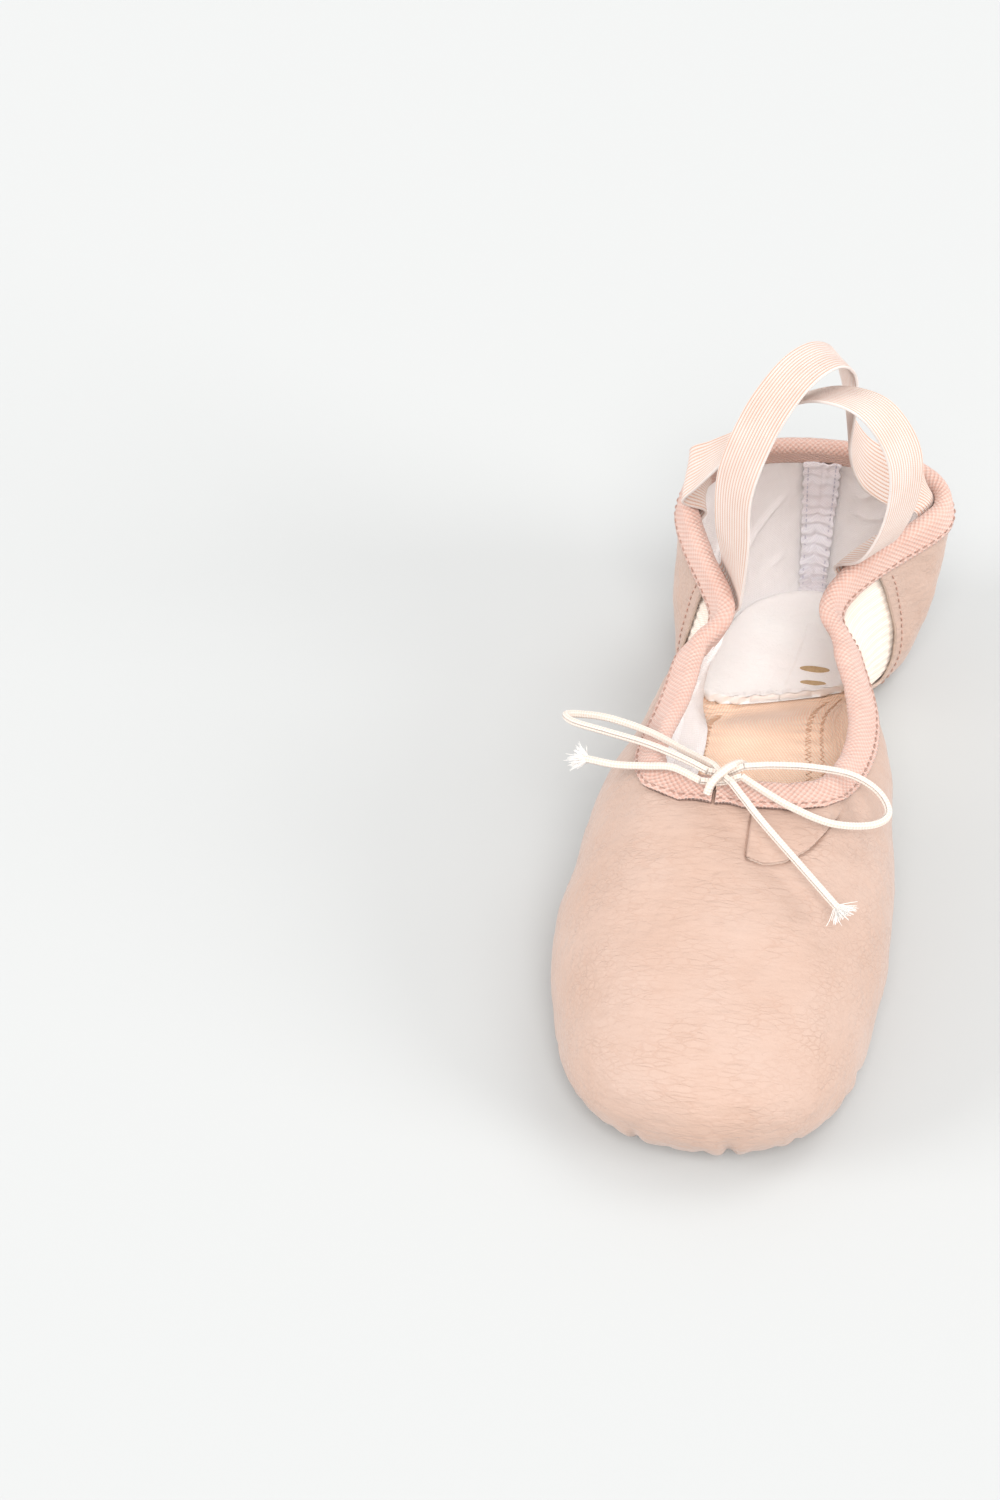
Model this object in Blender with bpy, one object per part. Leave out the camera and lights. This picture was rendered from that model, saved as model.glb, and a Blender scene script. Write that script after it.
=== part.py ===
"""Soft split-sole ballet slipper with a drawstring bow and two crossed ankle elastics.

The slipper lies along Y with its toe at -Y and its heel at +Y, soles on z = 0.  Lengths are in
millimetres until a mesh is made.  A point of the upper is given by (a, b): a runs round the
slipper (0 toe centre, +1 heel centre by the +X side, -1 heel centre by the -X side) and b runs
from the line under the foot (0) up to the topline (1).  Depth is measured inwards from the
outer face of the leather.
"""
import math

import bmesh
import bpy
import numpy as np
from mathutils import Matrix, Vector

MM = 0.001

# ---- the form of the upper: half width, y and z at ten stations, toe centre to heel centre ----
FORM_LOOPS = [
    # line under the foot
    [(0, -86, 0), (0, -80, 0), (0, -68, 0), (0, -48, 0), (0, -14, 3), (0, 20, 18),
     (0, 48, 4), (0, 68, 0), (0, 84, 0), (0, 88, 0)],
    # flat of the sole
    [(0, -104, 0), (16, -100, 0), (26, -86, 0), (31, -57, 0), (26, -17, 3), (19, 19, 18),
     (20, 49, 3), (23, 70, 0), (16, 90, 0), (0, 97, 0)],
    # edge of the footprint
    [(0, -119, 2), (23, -113, 2), (37, -94, 1), (42, -60, 1), (36, -19, 5), (25, 19, 20),
     (27, 49, 5), (31, 70, 1), (24, 97, 1), (0, 110, 2)],
    # low on the wall
    [(0, -124, 16), (24, -118, 16), (39, -97, 15), (44.5, -62, 17), (40, -18, 20), (28, 20, 31),
     (28, 49, 20), (35, 73, 19), (26, 102, 20), (0, 116, 20)],
    # half way up
    [(0, -117, 32), (21, -111, 32), (34, -90, 33), (42, -56, 33), (39, -12, 34), (28, 22, 40),
     (23, 48, 35), (38, 78, 35), (27, 105, 36), (0, 115, 36)],
    # below the topline
    [(0, -78, 48), (15, -75, 48), (26, -64, 48), (35, -39, 46), (35, -6, 44), (26, 23, 46),
     (19, 46, 44), (39, 81, 49), (27, 103, 52), (0, 110, 52)],
    # topline
    [(0, -39, 57), (12, -38, 56.5), (23, -33, 55), (27, -18, 52), (25.5, 5, 50), (21.5, 27, 50),
     (16.5, 45, 51), (37, 80, 56), (27, 99, 59), (0, 106, 59)],
]
STATIONS = 9                    # stations from toe centre to heel centre
TOE_SIDE = -4.0                 # the forefoot lies to the -X side of the arch ...
HEEL_SIDE = 11.0                # ... and the heel to the +X side, as in a left shoe
THROAT_LEAN = 3.0               # sideways lean of the throat at the topline
PINCH_SKEW = 0.3                # the inner side pinches in further back than the outer side
PINCH_Y, PINCH_SPREAD = 47.0, 26.0

# ---- layers, as depth in from the outer face of the leather ----
GAP = 0.3
LEATHER = 1.0
LINING_DEPTH, LINING = 1.5, 0.5
PANEL_DEPTH = 1.8
INSOLE_DEPTH, INSOLE, HEEL_SOCK = 2.9, 1.5, 3.0
PAD = 1.9
OUTSOLE = 1.4
OUTSOLE_EDGE_CURL = 0.3         # the outsole stays flat until the upper has risen this far
TAPE_DEPTH, TAPE, TAPE_WIDTH = 2.7, 0.4, 10.0

# ---- where the pieces of the upper meet, as (a, b) ----
STEP = 1.0 / 27.0               # column spacing round the forefoot, halved from the waist back
WAIST_COLUMN, HEEL_COLUMN = 11, 27
MARGIN_B = 0.12                 # the upper is turned in under the foot as far as this
ROWS = np.array([0.12, 0.17, 0.22, 0.27, 0.32, 0.38, 0.45, 0.53, 0.62, 0.72, 0.82, 0.91, 1.0])
FRONT_SEAM = [(0.405, 0.12), (0.430, 0.22), (0.460, 0.33), (0.505, 0.43), (0.560, 0.50),
              (0.605, 0.60), (0.623, 0.76), (17 * STEP, 1.0)]
REAR_SEAM = [(0.7037, 0.0), (0.712, 0.12), (0.722, 0.25), (0.716, 0.5), (0.709, 0.75),
             (19 * STEP, 1.0)]
PANEL_TUCK = 0.016              # the arch panel runs on under the leather edges
LINING_SET_BACK = (0.030, 0.030)
BACK_SEAM = 0.001               # half the gap between the two heel quarters

# ---- sole pieces, as the share of b they cover and the a where they end ----
OUTSOLE_B, INSOLE_B, PAD_B = 0.165, 0.165, 0.095
FORE_OUTSOLE_END, FORE_INSOLE_END, FORE_PAD_END = 0.50, 0.42, 0.37
HEEL_OUTSOLE_START, HEEL_SOCK_START, HEEL_PAD_START = 0.720, 0.695, 0.74
FORE_ROUNDING, HEEL_ROUNDING = 0.10, 0.035   # how much of the end of a sole piece is rounded

# ---- binding, drawstring and threads ----
BINDING = 0.8
BINDING_LEG = 5.2               # below the topline
CASING_RISE = 1.5               # centre of the casing above the topline
CASING_OUT, CASING_IN = -0.6, 2.9
CORD_RADIUS = 1.0
THREAD_RADIUS = 0.25
BOW_A = -0.055                  # the drawstring comes out just beside the toe centre
CASING_MOUTH = 0.012            # half the gap in the binding where it comes out

# ---- ankle elastics ----
ELASTIC_WIDTH, ELASTIC = 16.0, 1.0
TAB_DEPTH, TAB_LENGTH = 4.7, 13.0
STRAP_A_FRONT, STRAP_A_REAR = -0.690, 0.795
STRAP_B_FRONT, STRAP_B_REAR = 0.700, -0.790
STRAP_A_PATH = [(-11.5, 46, 72), (-11.5, 47, 90), (-6.5, 50.5, 107), (-0.5, 55, 117.5), (5, 60.5, 121.8),
                (10.8, 67.5, 120.5), (15.2, 75.5, 111.5), (16.9, 80, 97), (18, 83, 83), (22.5, 84.5, 72),
                (29, 85, 66.5), (35, 85.5, 64)]
STRAP_B_PATH = [(29, 53, 66), (34, 52, 82), (33.4, 52, 100), (24.7, 52.5, 114.5), (12.4, 58, 114.5),
                (1, 66, 104), (-8, 70.5, 91), (-15, 72, 82), (-21.5, 73, 75), (-26.5, 75.5, 68)]
# width direction along each elastic, from its front end to its rear end
STRAP_A_ACROSS = [(0.62, -0.78, 0.0), (0.58, -0.76, 0.14), (0.50, -0.80, 0.15), (0.05, -0.92, -0.30),
                  (-0.25, -0.80, -0.50)]
STRAP_B_ACROSS = [(0.53, 0.84, -0.2), (0.53, 0.84, -0.25), (0.50, 0.85, -0.30), (0.30, 0.92, 0.05),
                  (0.05, 0.85, 0.5)]

# ---- the bow, as points of its cords ----
BOW_KNOT = [(-1.6, -30.5, 58.4), (-3.2, -32.6, 61.0), (-6.2, -36.2, 62.0), (-9.4, -40.0, 60.6),
            (-10.6, -41.8, 57.8)]
LOOP_LEFT = [(-9.6, -33.0, 60.0), (-17, -26.2, 57.4), (-27.5, -17.6, 55.2), (-39, -11.2, 53.0),
             (-47.3, -8.0, 50.6), (-50.8, -10.6, 52.4), (-48.0, -15.4, 54.4), (-38.6, -20.2, 56.4),
             (-27.4, -25.8, 58.6), (-17.6, -32.0, 60.4), (-11.0, -36.0, 60.6)]
TAIL_LEFT = [(-12.6, -38.6, 59.4), (-20.1, -33.4, 58.2), (-27.0, -31.4, 56.0), (-35.6, -29.4, 53.6),
             (-44.5, -25.7, 51.4)]
LOOP_RIGHT = [(-1.6, -34.6, 62.0), (6, -33.6, 62.4), (16, -31.0, 60.4), (26.2, -29.0, 57.0),
              (33.6, -30.8, 53.4), (36.6, -36.0, 51.0), (32.4, -41.4, 51.6), (22.2, -45.2, 54.6),
              (11.5, -43.6, 57.6), (3.4, -40.4, 59.8), (-2.0, -37.4, 61.0)]
TAIL_RIGHT = [(-4.4, -40.6, 61.6), (-0.6, -45.6, 60.8), (4.6, -51.0, 58.4), (15.4, -61.4, 54.2),
              (26.1, -71.0, 49.4)]

# ---- joints: arch folding under the waist, elastics about the ankle line, bow at its knot ----
ORIGIN = np.array([-1.3, 3.4, OUTSOLE + GAP])   # moves the form so the soles rest on z = 0
ARCH_AXIS = ORIGIN + (3.0, 20.0, 22.0)
STRAP_AXIS = ORIGIN + (10.0, 64.0, 56.0)
BOW_LEFT_AXIS = ORIGIN + (-8.5, -38.0, 62.5)
BOW_RIGHT_AXIS = ORIGIN + (-2.5, -38.0, 63.5)
BOW_LIFT = (0.4, -3.0, 3.0)     # the bow lies on top of the binding


def spline_weights(b, loops):
    """Clamped cubic B-spline weights of each loop at each b."""
    knots = np.concatenate([[0.0] * 3, np.linspace(0, 1, loops - 2), [1.0] * 3])
    b = np.clip(b, 0.0, 1.0 - 1e-9)[:, None]
    weights = ((knots[:-1] <= b) & (b < knots[1:])).astype(float)
    for degree in range(1, 4):
        spans = len(knots) - degree - 1
        left = knots[degree:degree + spans] - knots[:spans]
        right = knots[degree + 1:degree + 1 + spans] - knots[1:1 + spans]
        rise = np.where(left > 0, (b - knots[:spans]) / np.where(left > 0, left, 1), 0)
        fall = np.where(right > 0, (knots[degree + 1:degree + 1 + spans] - b)
                        / np.where(right > 0, right, 1), 0)
        weights = rise * weights[:, :spans] + fall * weights[:, 1:spans + 1]
    return weights


def smooth_step(x):
    x = np.clip(x, 0.0, 1.0)
    return x * x * (3 - 2 * x)


def catmull_rom(before, start, end, after, t):
    return start + 0.5 * t * (end - before + t * (2 * before - 5 * start + 4 * end - after
                              + t * (3 * (start - end) + after - before)))


def surface(a, b):
    """Points on the outer face of the upper, in millimetres."""
    shape = np.broadcast(a, b).shape
    a = np.broadcast_to(a, shape).ravel()
    b = np.broadcast_to(b, shape).ravel()
    half = np.array(FORM_LOOPS, float)
    loops = np.concatenate([half, half[:, -2:0:-1] * (-1, 1, 1)], axis=1)
    count = loops.shape[1]
    place = np.mod(a * STATIONS, count)
    index = np.floor(place).astype(int) % count
    near = [loops[:, (index + k) % count] for k in (-1, 0, 1, 2)]
    lines = catmull_rom(*near, (place - np.floor(place))[None, :, None])
    out = np.einsum("nl,lnk->nk", spline_weights(b, len(loops)), lines)
    y = out[:, 1].copy()
    out[:, 1] += PINCH_SKEW * out[:, 0] * np.exp(-((y - PINCH_Y) / PINCH_SPREAD) ** 2)
    out[:, 0] += TOE_SIDE * (1 - smooth_step((y + 70) / 70)) + HEEL_SIDE * smooth_step((y - 20) / 75)
    out[:, 0] += THROAT_LEAN * b ** 3 * np.exp(-((y - 5) / 22) ** 2)
    out[:, 2] = np.maximum(out[:, 2], 0.0)
    return (out + ORIGIN).reshape(shape + (3,))


def slopes(a, b):
    """Unit tangents round and up the upper, and the outward normal."""
    step = 1e-3
    b_low, b_high = np.clip(b - step, 0, 1), np.clip(b + step, 0, 1)
    around = surface(a + step, b) - surface(a - step, b)
    upward = surface(a, b_high) - surface(a, b_low)
    normal = np.cross(around, upward)
    size = np.linalg.norm(normal, axis=-1, keepdims=True)
    normal = np.where(size > 1e-9, normal / np.maximum(size, 1e-9), (0.0, 0.0, -1.0))
    around = around / np.maximum(np.linalg.norm(around, axis=-1, keepdims=True), 1e-9)
    return around, upward, normal


def inside(a, b, depth):
    """Points at a depth in from the outer face."""
    a, b = np.broadcast_arrays(np.asarray(a, float), np.asarray(b, float))
    return surface(a, b) - slopes(a, b)[2] * depth


def by_topline(a, height, depth):
    """Points beside the topline: a height square above it (negative below) and a depth in."""
    a = np.asarray(a, float)
    top = np.ones_like(a)
    per_a = (surface(a + 1e-3, top) - surface(a - 1e-3, top)) / 2e-3
    per_b = (surface(a, top) - surface(a, top - 1e-3)) / 1e-3
    speed = np.linalg.norm(per_a, axis=-1)
    drift = np.sum(per_b * per_a, axis=-1) / speed
    square = per_b - per_a * (drift / speed)[..., None]
    rate = np.linalg.norm(square, axis=-1)
    drop = min(height, 0.0) / rate
    points = inside(a - drop * drift / speed, top + drop, depth)
    return points + square / rate[..., None] * max(height, 0.0)


def along(points, count):
    """A smooth line of evenly spread points through the given ones."""
    points = np.array(points, float)
    ends = np.concatenate([[2 * points[0] - points[1]], points, [2 * points[-1] - points[-2]]])
    fine = []
    for k in range(1, len(ends) - 2):
        for t in np.linspace(0, 1, 24, endpoint=False):
            fine.append(catmull_rom(*ends[k - 1:k + 3], t))
    fine = np.array(fine + [points[-1]])
    run = np.concatenate([[0], np.cumsum(np.linalg.norm(np.diff(fine, axis=0), axis=1))])
    spots = np.linspace(0, run[-1], count)
    return np.stack([np.interp(spots, run, fine[:, k]) for k in range(fine.shape[1])], axis=1)


def column_places(first, last):
    """The a of the columns of the upper from one whole column to another, on the +X side."""
    whole = np.arange(first, last + 1)
    half = whole[(whole >= WAIST_COLUMN) & (whole < last)] + 0.5
    return np.sort(np.concatenate([whole, half])) * STEP


def seam_a(seam, b):
    seam = np.array(seam)
    return np.interp(b, seam[:, 1], seam[:, 0])


# ---- making objects ----
def material(name, colour, roughness):
    found = bpy.data.materials.get(name)
    if found:
        return found
    made = bpy.data.materials.new(name)
    made.use_nodes = True
    shader = made.node_tree.nodes["Principled BSDF"]
    shader.inputs["Base Color"].default_value = (*colour, 1)
    shader.inputs["Roughness"].default_value = roughness
    shader.inputs["Metallic"].default_value = 0.0
    return made


def pink_leather():
    return material("pink_leather", (0.86, 0.62, 0.52), 0.55)


def white_cotton():
    return material("white_cotton", (0.85, 0.84, 0.85), 0.9)


def stretch_mesh():
    return material("stretch_mesh", (0.84, 0.55, 0.38), 0.85)


def pink_canvas():
    return material("pink_canvas", (0.85, 0.58, 0.48), 0.85)


def tan_suede():
    return material("tan_suede", (0.62, 0.44, 0.26), 0.95)


def pale_elastic():
    return material("pale_elastic", (0.88, 0.68, 0.56), 0.8)


def cream_cord():
    return material("cream_cord", (0.9, 0.78, 0.68), 0.8)


def pink_thread():
    return material("pink_thread", (0.66, 0.42, 0.34), 0.8)


def place(obj, pivot, surface_material):
    """Puts the object's origin on its joint axis and gives it its material."""
    obj.data.transform(Matrix.Translation(-Vector(pivot) * MM))
    obj.location = Vector(pivot) * MM
    obj.data.materials.append(surface_material)
    bpy.context.scene.collection.objects.link(obj)
    return obj


def mesh_object(name, points, faces, pivot, surface_material):
    mesh = bpy.data.meshes.new(name)
    mesh.from_pydata([tuple(p * MM) for p in points], [], faces)
    mesh.validate()
    mesh.update()
    return place(bpy.data.objects.new(name, mesh), pivot, surface_material)


def grid_faces(columns, rows):
    return [(i * rows + j, (i + 1) * rows + j, (i + 1) * rows + j + 1, i * rows + j + 1)
            for i in range(columns - 1) for j in range(rows - 1)]


def tube_faces(count, sides):
    """Faces of a tube of rings laid one after another."""
    return [(i * sides + j, i * sides + (j + 1) % sides, (i + 1) * sides + (j + 1) % sides,
             (i + 1) * sides + j) for i in range(count - 1) for j in range(sides)]


def section_caps(count, sides):
    """Four-cornered faces closing both ends of a folded or flat tube."""
    pairs = [(j, sides - 1 - j) for j in range(sides // 2)]
    caps = []
    for (p, q), (r, s) in zip(pairs, pairs[1:]):
        caps.append((p, q, s, r))
        base = (count - 1) * sides
        caps.append((base + p, base + r, base + s, base + q))
    return caps


def turn_outward(obj):
    work = bmesh.new()
    work.from_mesh(obj.data)
    bmesh.ops.recalc_face_normals(work, faces=work.faces)
    work.to_mesh(obj.data)
    work.free()


def merge_middle(obj):
    """Joins the two halves of a sheet along the line under the foot."""
    work = bmesh.new()
    work.from_mesh(obj.data)
    bmesh.ops.remove_doubles(work, verts=work.verts, dist=0.02 * MM)
    work.to_mesh(obj.data)
    work.free()


def sheet(name, a, b, depth, thickness, pivot, surface_material):
    """A sheet lying in the upper at a depth, thickened inwards."""
    columns, rows = a.shape
    points = inside(a, b, depth).reshape(-1, 3)
    obj = mesh_object(name, points, grid_faces(columns, rows), pivot, surface_material)
    thicken = obj.modifiers.new("thickness", "SOLIDIFY")
    thicken.thickness = thickness * MM
    thicken.offset = -1.0
    return obj


def cord(name, points, radius, pivot, surface_material, closed=False, sides=2):
    """A round cord or thread through the points."""
    curve = bpy.data.curves.new(name, "CURVE")
    curve.dimensions = "3D"
    curve.bevel_depth = radius * MM
    curve.bevel_resolution = sides
    curve.use_fill_caps = not closed
    spline = curve.splines.new("POLY")
    spline.points.add(len(points) - 1)
    for knot, point in zip(spline.points, points):
        knot.co = (*(point * MM), 1.0)
    spline.use_cyclic_u = closed
    return place(bpy.data.objects.new(name, curve), pivot, surface_material)


# ---- the vamp ----
def vamp_grid(set_back_a, set_back_b):
    """Columns from the topline down to the sole edge, or to the front seam on the wings."""
    last = round(17 - set_back_a / STEP)
    columns = column_places(0, last)
    columns = np.concatenate([-columns[:0:-1], columns])
    seam = np.array(FRONT_SEAM)
    low = np.interp(np.abs(columns) + set_back_a, seam[:, 0], seam[:, 1] + set_back_b)
    low = np.where(np.abs(columns) + set_back_a < seam[0, 0], MARGIN_B, low)
    low = np.minimum(low, 0.80)
    share = (ROWS - MARGIN_B) / (1 - MARGIN_B)
    b = low[:, None] + (1 - low[:, None]) * share[None, :]
    a = np.repeat(columns[:, None], len(ROWS), axis=1)
    return a, b


def vamp():
    a, b = vamp_grid(0.0, 0.0)
    sheet("vamp_leather", a, b, 0.0, LEATHER, (0, 0, 0), pink_leather())
    a, b = vamp_grid(*LINING_SET_BACK)
    sheet("vamp_lining", a, b, LINING_DEPTH, LINING, (0, 0, 0), white_cotton())


def seam_threads():
    """Stitching beside the front seam on the vamp, and beside the rear seam on the heel."""
    front = along(FRONT_SEAM, 30)
    front = front[(front[:, 1] > 0.22) & (front[:, 1] < 0.9)] + (-0.012, 0.02)
    rise = np.linspace(0.16, 0.9, 16)
    rear = np.stack([seam_a(REAR_SEAM, rise) + 0.009, rise], axis=1)
    depth = -(GAP + 0.1 + THREAD_RADIUS)
    for side, word in ((1, "right"), (-1, "left")):
        cord(f"vamp_seam_thread_{word}", inside(side * front[:, 0], front[:, 1], depth),
             THREAD_RADIUS, (0, 0, 0), pink_thread(), sides=1)
        cord(f"heel_seam_thread_{word}", inside(side * rear[:, 0], rear[:, 1], depth),
             THREAD_RADIUS, ARCH_AXIS, pink_thread(), sides=1)


# ---- the heel ----
def heel_sheet(name, side, first, depth, thickness, surface_material):
    """One side of the heel, from a column at or behind the rear seam round to the back seam."""
    columns = column_places(19, HEEL_COLUMN)
    share = ((columns - columns[0]) / (columns[-1] - columns[0]))[first:, None]
    start = seam_a(REAR_SEAM, ROWS)[None, :]
    a = start + (1 - BACK_SEAM - start) * share
    b = np.repeat(ROWS[None, :], len(share), axis=0)
    if side < 0:
        a, b = -a[::-1], b[::-1]
    sheet(name, a, b, depth, thickness, ARCH_AXIS, surface_material)


def heel():
    for side, word in ((1, "right"), (-1, "left")):
        heel_sheet(f"heel_quarter_{word}", side, 0, 0.0, LEATHER, pink_leather())
        heel_sheet(f"heel_lining_{word}", side, 2, LINING_DEPTH, LINING, white_cotton())
    rise = np.linspace(0.30, 0.93, 12)
    half = TAPE_WIDTH / 2 / 250.0
    a = np.repeat(1 + np.linspace(-half, half, 3)[:, None], len(rise), axis=1)
    sheet("back_seam_tape", a, np.repeat(rise[None, :], 3, axis=0), TAPE_DEPTH, TAPE, ARCH_AXIS,
          white_cotton())
    a = np.repeat(np.linspace(-0.90, -0.86, 3)[:, None], 3, axis=1)
    sheet("care_label", a, np.repeat(np.linspace(0.78, 0.89, 3)[None, :], 3, axis=0), TAPE_DEPTH,
          GAP, ARCH_AXIS, white_cotton())


# ---- soles and insoles ----
def sole_piece(name, a, edge_b, bottom, thickness, flat, pivot, surface_material):
    """A slab under or inside the foot, its two halves joined along the middle line."""
    share = np.linspace(0, 1, 5)[None, :]
    a = np.repeat(a[:, None], 5, axis=1)
    b = edge_b[:, None] * share
    points = surface(a, b)
    if flat:
        rise = points[..., 2] - surface(a, b * 0)[..., 2]
        points[..., 2] -= np.clip(rise, 0, OUTSOLE_EDGE_CURL)
    points[..., 2] += bottom
    obj = mesh_object(name, points.reshape(-1, 3), grid_faces(*a.shape), pivot, surface_material)
    merge_middle(obj)
    work = bmesh.new()
    work.from_mesh(obj.data)
    raised = bmesh.ops.extrude_face_region(work, geom=work.faces[:])["geom"]
    raised = [v for v in raised if isinstance(v, bmesh.types.BMVert)]
    bmesh.ops.translate(work, verts=raised, vec=(0, 0, thickness * MM))
    bmesh.ops.recalc_face_normals(work, faces=work.faces)
    work.to_mesh(obj.data)
    work.free()
    return obj


def rounded_edge(a, end, edge_b, rounding):
    """The share of b a sole piece covers, rounded off towards its end."""
    near = np.clip(1 - np.abs(a - end) / rounding, 0, 0.97)
    return edge_b * np.sqrt(1 - near ** 2)


def forefoot_slab(name, end, edge_b, bottom, thickness, flat, surface_material):
    columns = max(6, round(end * 18))
    a = np.linspace(-end, end, 2 * columns + 1)
    sole_piece(name, a, rounded_edge(np.abs(a), end, edge_b, FORE_ROUNDING), bottom,
               thickness, flat, (0, 0, 0), surface_material)


def heel_slab(name, start, edge_b, bottom, thickness, flat, surface_material):
    columns = round((1 - start) * 24)
    a = np.linspace(start, 2 - start, 2 * columns + 1)
    near_end = np.where(a > 1, 2 - a, a)
    sole_piece(name, a, rounded_edge(near_end, start, edge_b, HEEL_ROUNDING), bottom,
               thickness, flat, ARCH_AXIS, surface_material)


def soles():
    under = -(GAP + OUTSOLE)
    forefoot_slab("forefoot_outsole", FORE_OUTSOLE_END, OUTSOLE_B, under, OUTSOLE, True, tan_suede())
    forefoot_slab("forefoot_pad", FORE_PAD_END, PAD_B, 0.0, PAD, False, white_cotton())
    forefoot_slab("forefoot_insole", FORE_INSOLE_END, INSOLE_B, INSOLE_DEPTH, INSOLE, False,
                  white_cotton())
    heel_slab("heel_outsole", HEEL_OUTSOLE_START, OUTSOLE_B, under, OUTSOLE, True, tan_suede())
    heel_slab("heel_pad", HEEL_PAD_START, PAD_B, 0.0, PAD, False, white_cotton())
    heel_slab("heel_sock", HEEL_SOCK_START, INSOLE_B, INSOLE_DEPTH, HEEL_SOCK, False,
              white_cotton())


# ---- the stretch panel under the arch ----
def arch_panel():
    """From the topline on one side, under the arch, to the topline on the other."""
    b = np.concatenate([[0.0, 0.06], ROWS])
    front = seam_a(FRONT_SEAM, b) - PANEL_TUCK
    rear = seam_a(REAR_SEAM, b) + PANEL_TUCK
    share = np.linspace(0, 1, 13)[:, None]
    right = front[None, :] + (rear - front)[None, :] * share
    rise = np.repeat(b[None, :], len(share), axis=0)
    a = np.concatenate([-right[:, :0:-1], right], axis=1)
    b = np.concatenate([rise[:, :0:-1], rise], axis=1)
    columns, rows = a.shape
    points = inside(a, b, PANEL_DEPTH)
    points[:, rise.shape[1] - 1] = inside(right[:, 0], rise[:, 0], PANEL_DEPTH)
    faces = [f[::-1] for f in grid_faces(columns, rows)]
    obj = mesh_object("arch_panel", points.reshape(-1, 3), faces, ARCH_AXIS, stretch_mesh())
    work = bmesh.new()
    work.from_mesh(obj.data)
    bmesh.ops.recalc_face_normals(work, faces=work.faces)
    middle = min(work.faces, key=lambda f: f.calc_center_median().z)
    if middle.normal.z > 0:
        bmesh.ops.reverse_faces(work, faces=work.faces)
    work.to_mesh(obj.data)
    work.free()
    thicken = obj.modifiers.new("thickness", "SOLIDIFY")
    thicken.thickness = LINING * MM
    thicken.offset = -1.0
    for side, word in ((1, "right"), (-1, "left")):
        arch_stitch(side, word)


def arch_stitch(side, word):
    """A band of zigzag stitching lengthwise on the inner face of the panel."""
    run = np.linspace(0.45, 0.66, 14)
    across = np.linspace(0.08, 0.12, 3)
    a = np.repeat(run[:, None], 3, axis=1)
    b = np.repeat(across[None, :], len(run), axis=0)
    if side < 0:
        a, b = -a[::-1], b[::-1]
    sheet(f"arch_stitch_{word}", a, b, TAPE_DEPTH, GAP, ARCH_AXIS, pink_thread())


# ---- binding and drawstring ----
def ring_stations():
    """The a of each section of the binding, from one side of the casing mouth to the other."""
    start, end = BOW_A + CASING_MOUTH, BOW_A + 2 - CASING_MOUTH
    side = column_places(0, HEEL_COLUMN)
    ring = np.concatenate([side, 2 - side[-2:0:-1]])
    return np.concatenate([[start], ring[(ring > start + STEP / 3) & (ring < end - STEP / 3)], [end]])


def binding():
    """Tape folded over the topline, with a round casing along its top."""
    a = ring_stations()
    middle, outer = (CASING_OUT + CASING_IN) / 2, (CASING_IN - CASING_OUT) / 2 + BINDING
    inner = outer - BINDING
    arch = np.linspace(0, math.pi, 5)
    section = [(-BINDING_LEG, middle - outer)]
    section += [(CASING_RISE + outer * math.sin(t), middle - outer * math.cos(t)) for t in arch]
    section += [(-BINDING_LEG, middle + outer), (-BINDING_LEG, middle + inner)]
    section += [(CASING_RISE + inner * math.sin(t), middle + inner * math.cos(t)) for t in arch]
    section += [(-BINDING_LEG, middle - inner)]
    rings = np.stack([by_topline(a, height, depth) for height, depth in section], axis=1)
    count, sides = rings.shape[:2]
    faces = tube_faces(count, sides) + section_caps(count, sides)
    obj = mesh_object("topline_binding", rings.reshape(-1, 3), faces, ARCH_AXIS, pink_canvas())
    turn_outward(obj)
    thread_depth = middle - outer - GAP - THREAD_RADIUS - 0.05
    cord("binding_thread", by_topline(a, -BINDING_LEG + 1.4, thread_depth), THREAD_RADIUS,
         ARCH_AXIS, pink_thread(), sides=1)


def drawstring():
    """The part of the cord inside the casing, its two ends turned up at the mouth."""
    a = ring_stations()
    middle = (CASING_OUT + CASING_IN) / 2
    run = by_topline(a, CASING_RISE, middle)
    cord("drawstring", run, CORD_RADIUS, ARCH_AXIS, cream_cord())


def bow():
    """The knot on the throat, and a loop and a tail of cord to each side of it."""
    for name, points, count, pivot in (("bow_knot", BOW_KNOT, 9, (0, 0, 0)),
                                       ("bow_loop_left", LOOP_LEFT, 34, BOW_LEFT_AXIS),
                                       ("bow_tail_left", TAIL_LEFT, 10, BOW_LEFT_AXIS),
                                       ("bow_loop_right", LOOP_RIGHT, 34, BOW_RIGHT_AXIS),
                                       ("bow_tail_right", TAIL_RIGHT, 12, BOW_RIGHT_AXIS)):
        cord(name, along(np.array(points) + ORIGIN + BOW_LIFT, count), CORD_RADIUS, pivot,
             cream_cord())


# ---- ankle elastics ----
def ribbon(name, edge, middle, other_edge, pivot, surface_material):
    """A flat elastic through three lines along its length, closed at both ends."""
    face = np.cross(np.gradient(middle, axis=0), other_edge - edge)
    face *= ELASTIC / 2 / np.linalg.norm(face, axis=1, keepdims=True)
    rings = np.stack([edge - face, middle - face, other_edge - face,
                      other_edge + face, middle + face, edge + face], axis=1)
    count, sides = rings.shape[:2]
    faces = tube_faces(count, sides) + section_caps(count, sides)
    obj = mesh_object(name, rings.reshape(-1, 3), faces, pivot, surface_material)
    turn_outward(obj)


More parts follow.
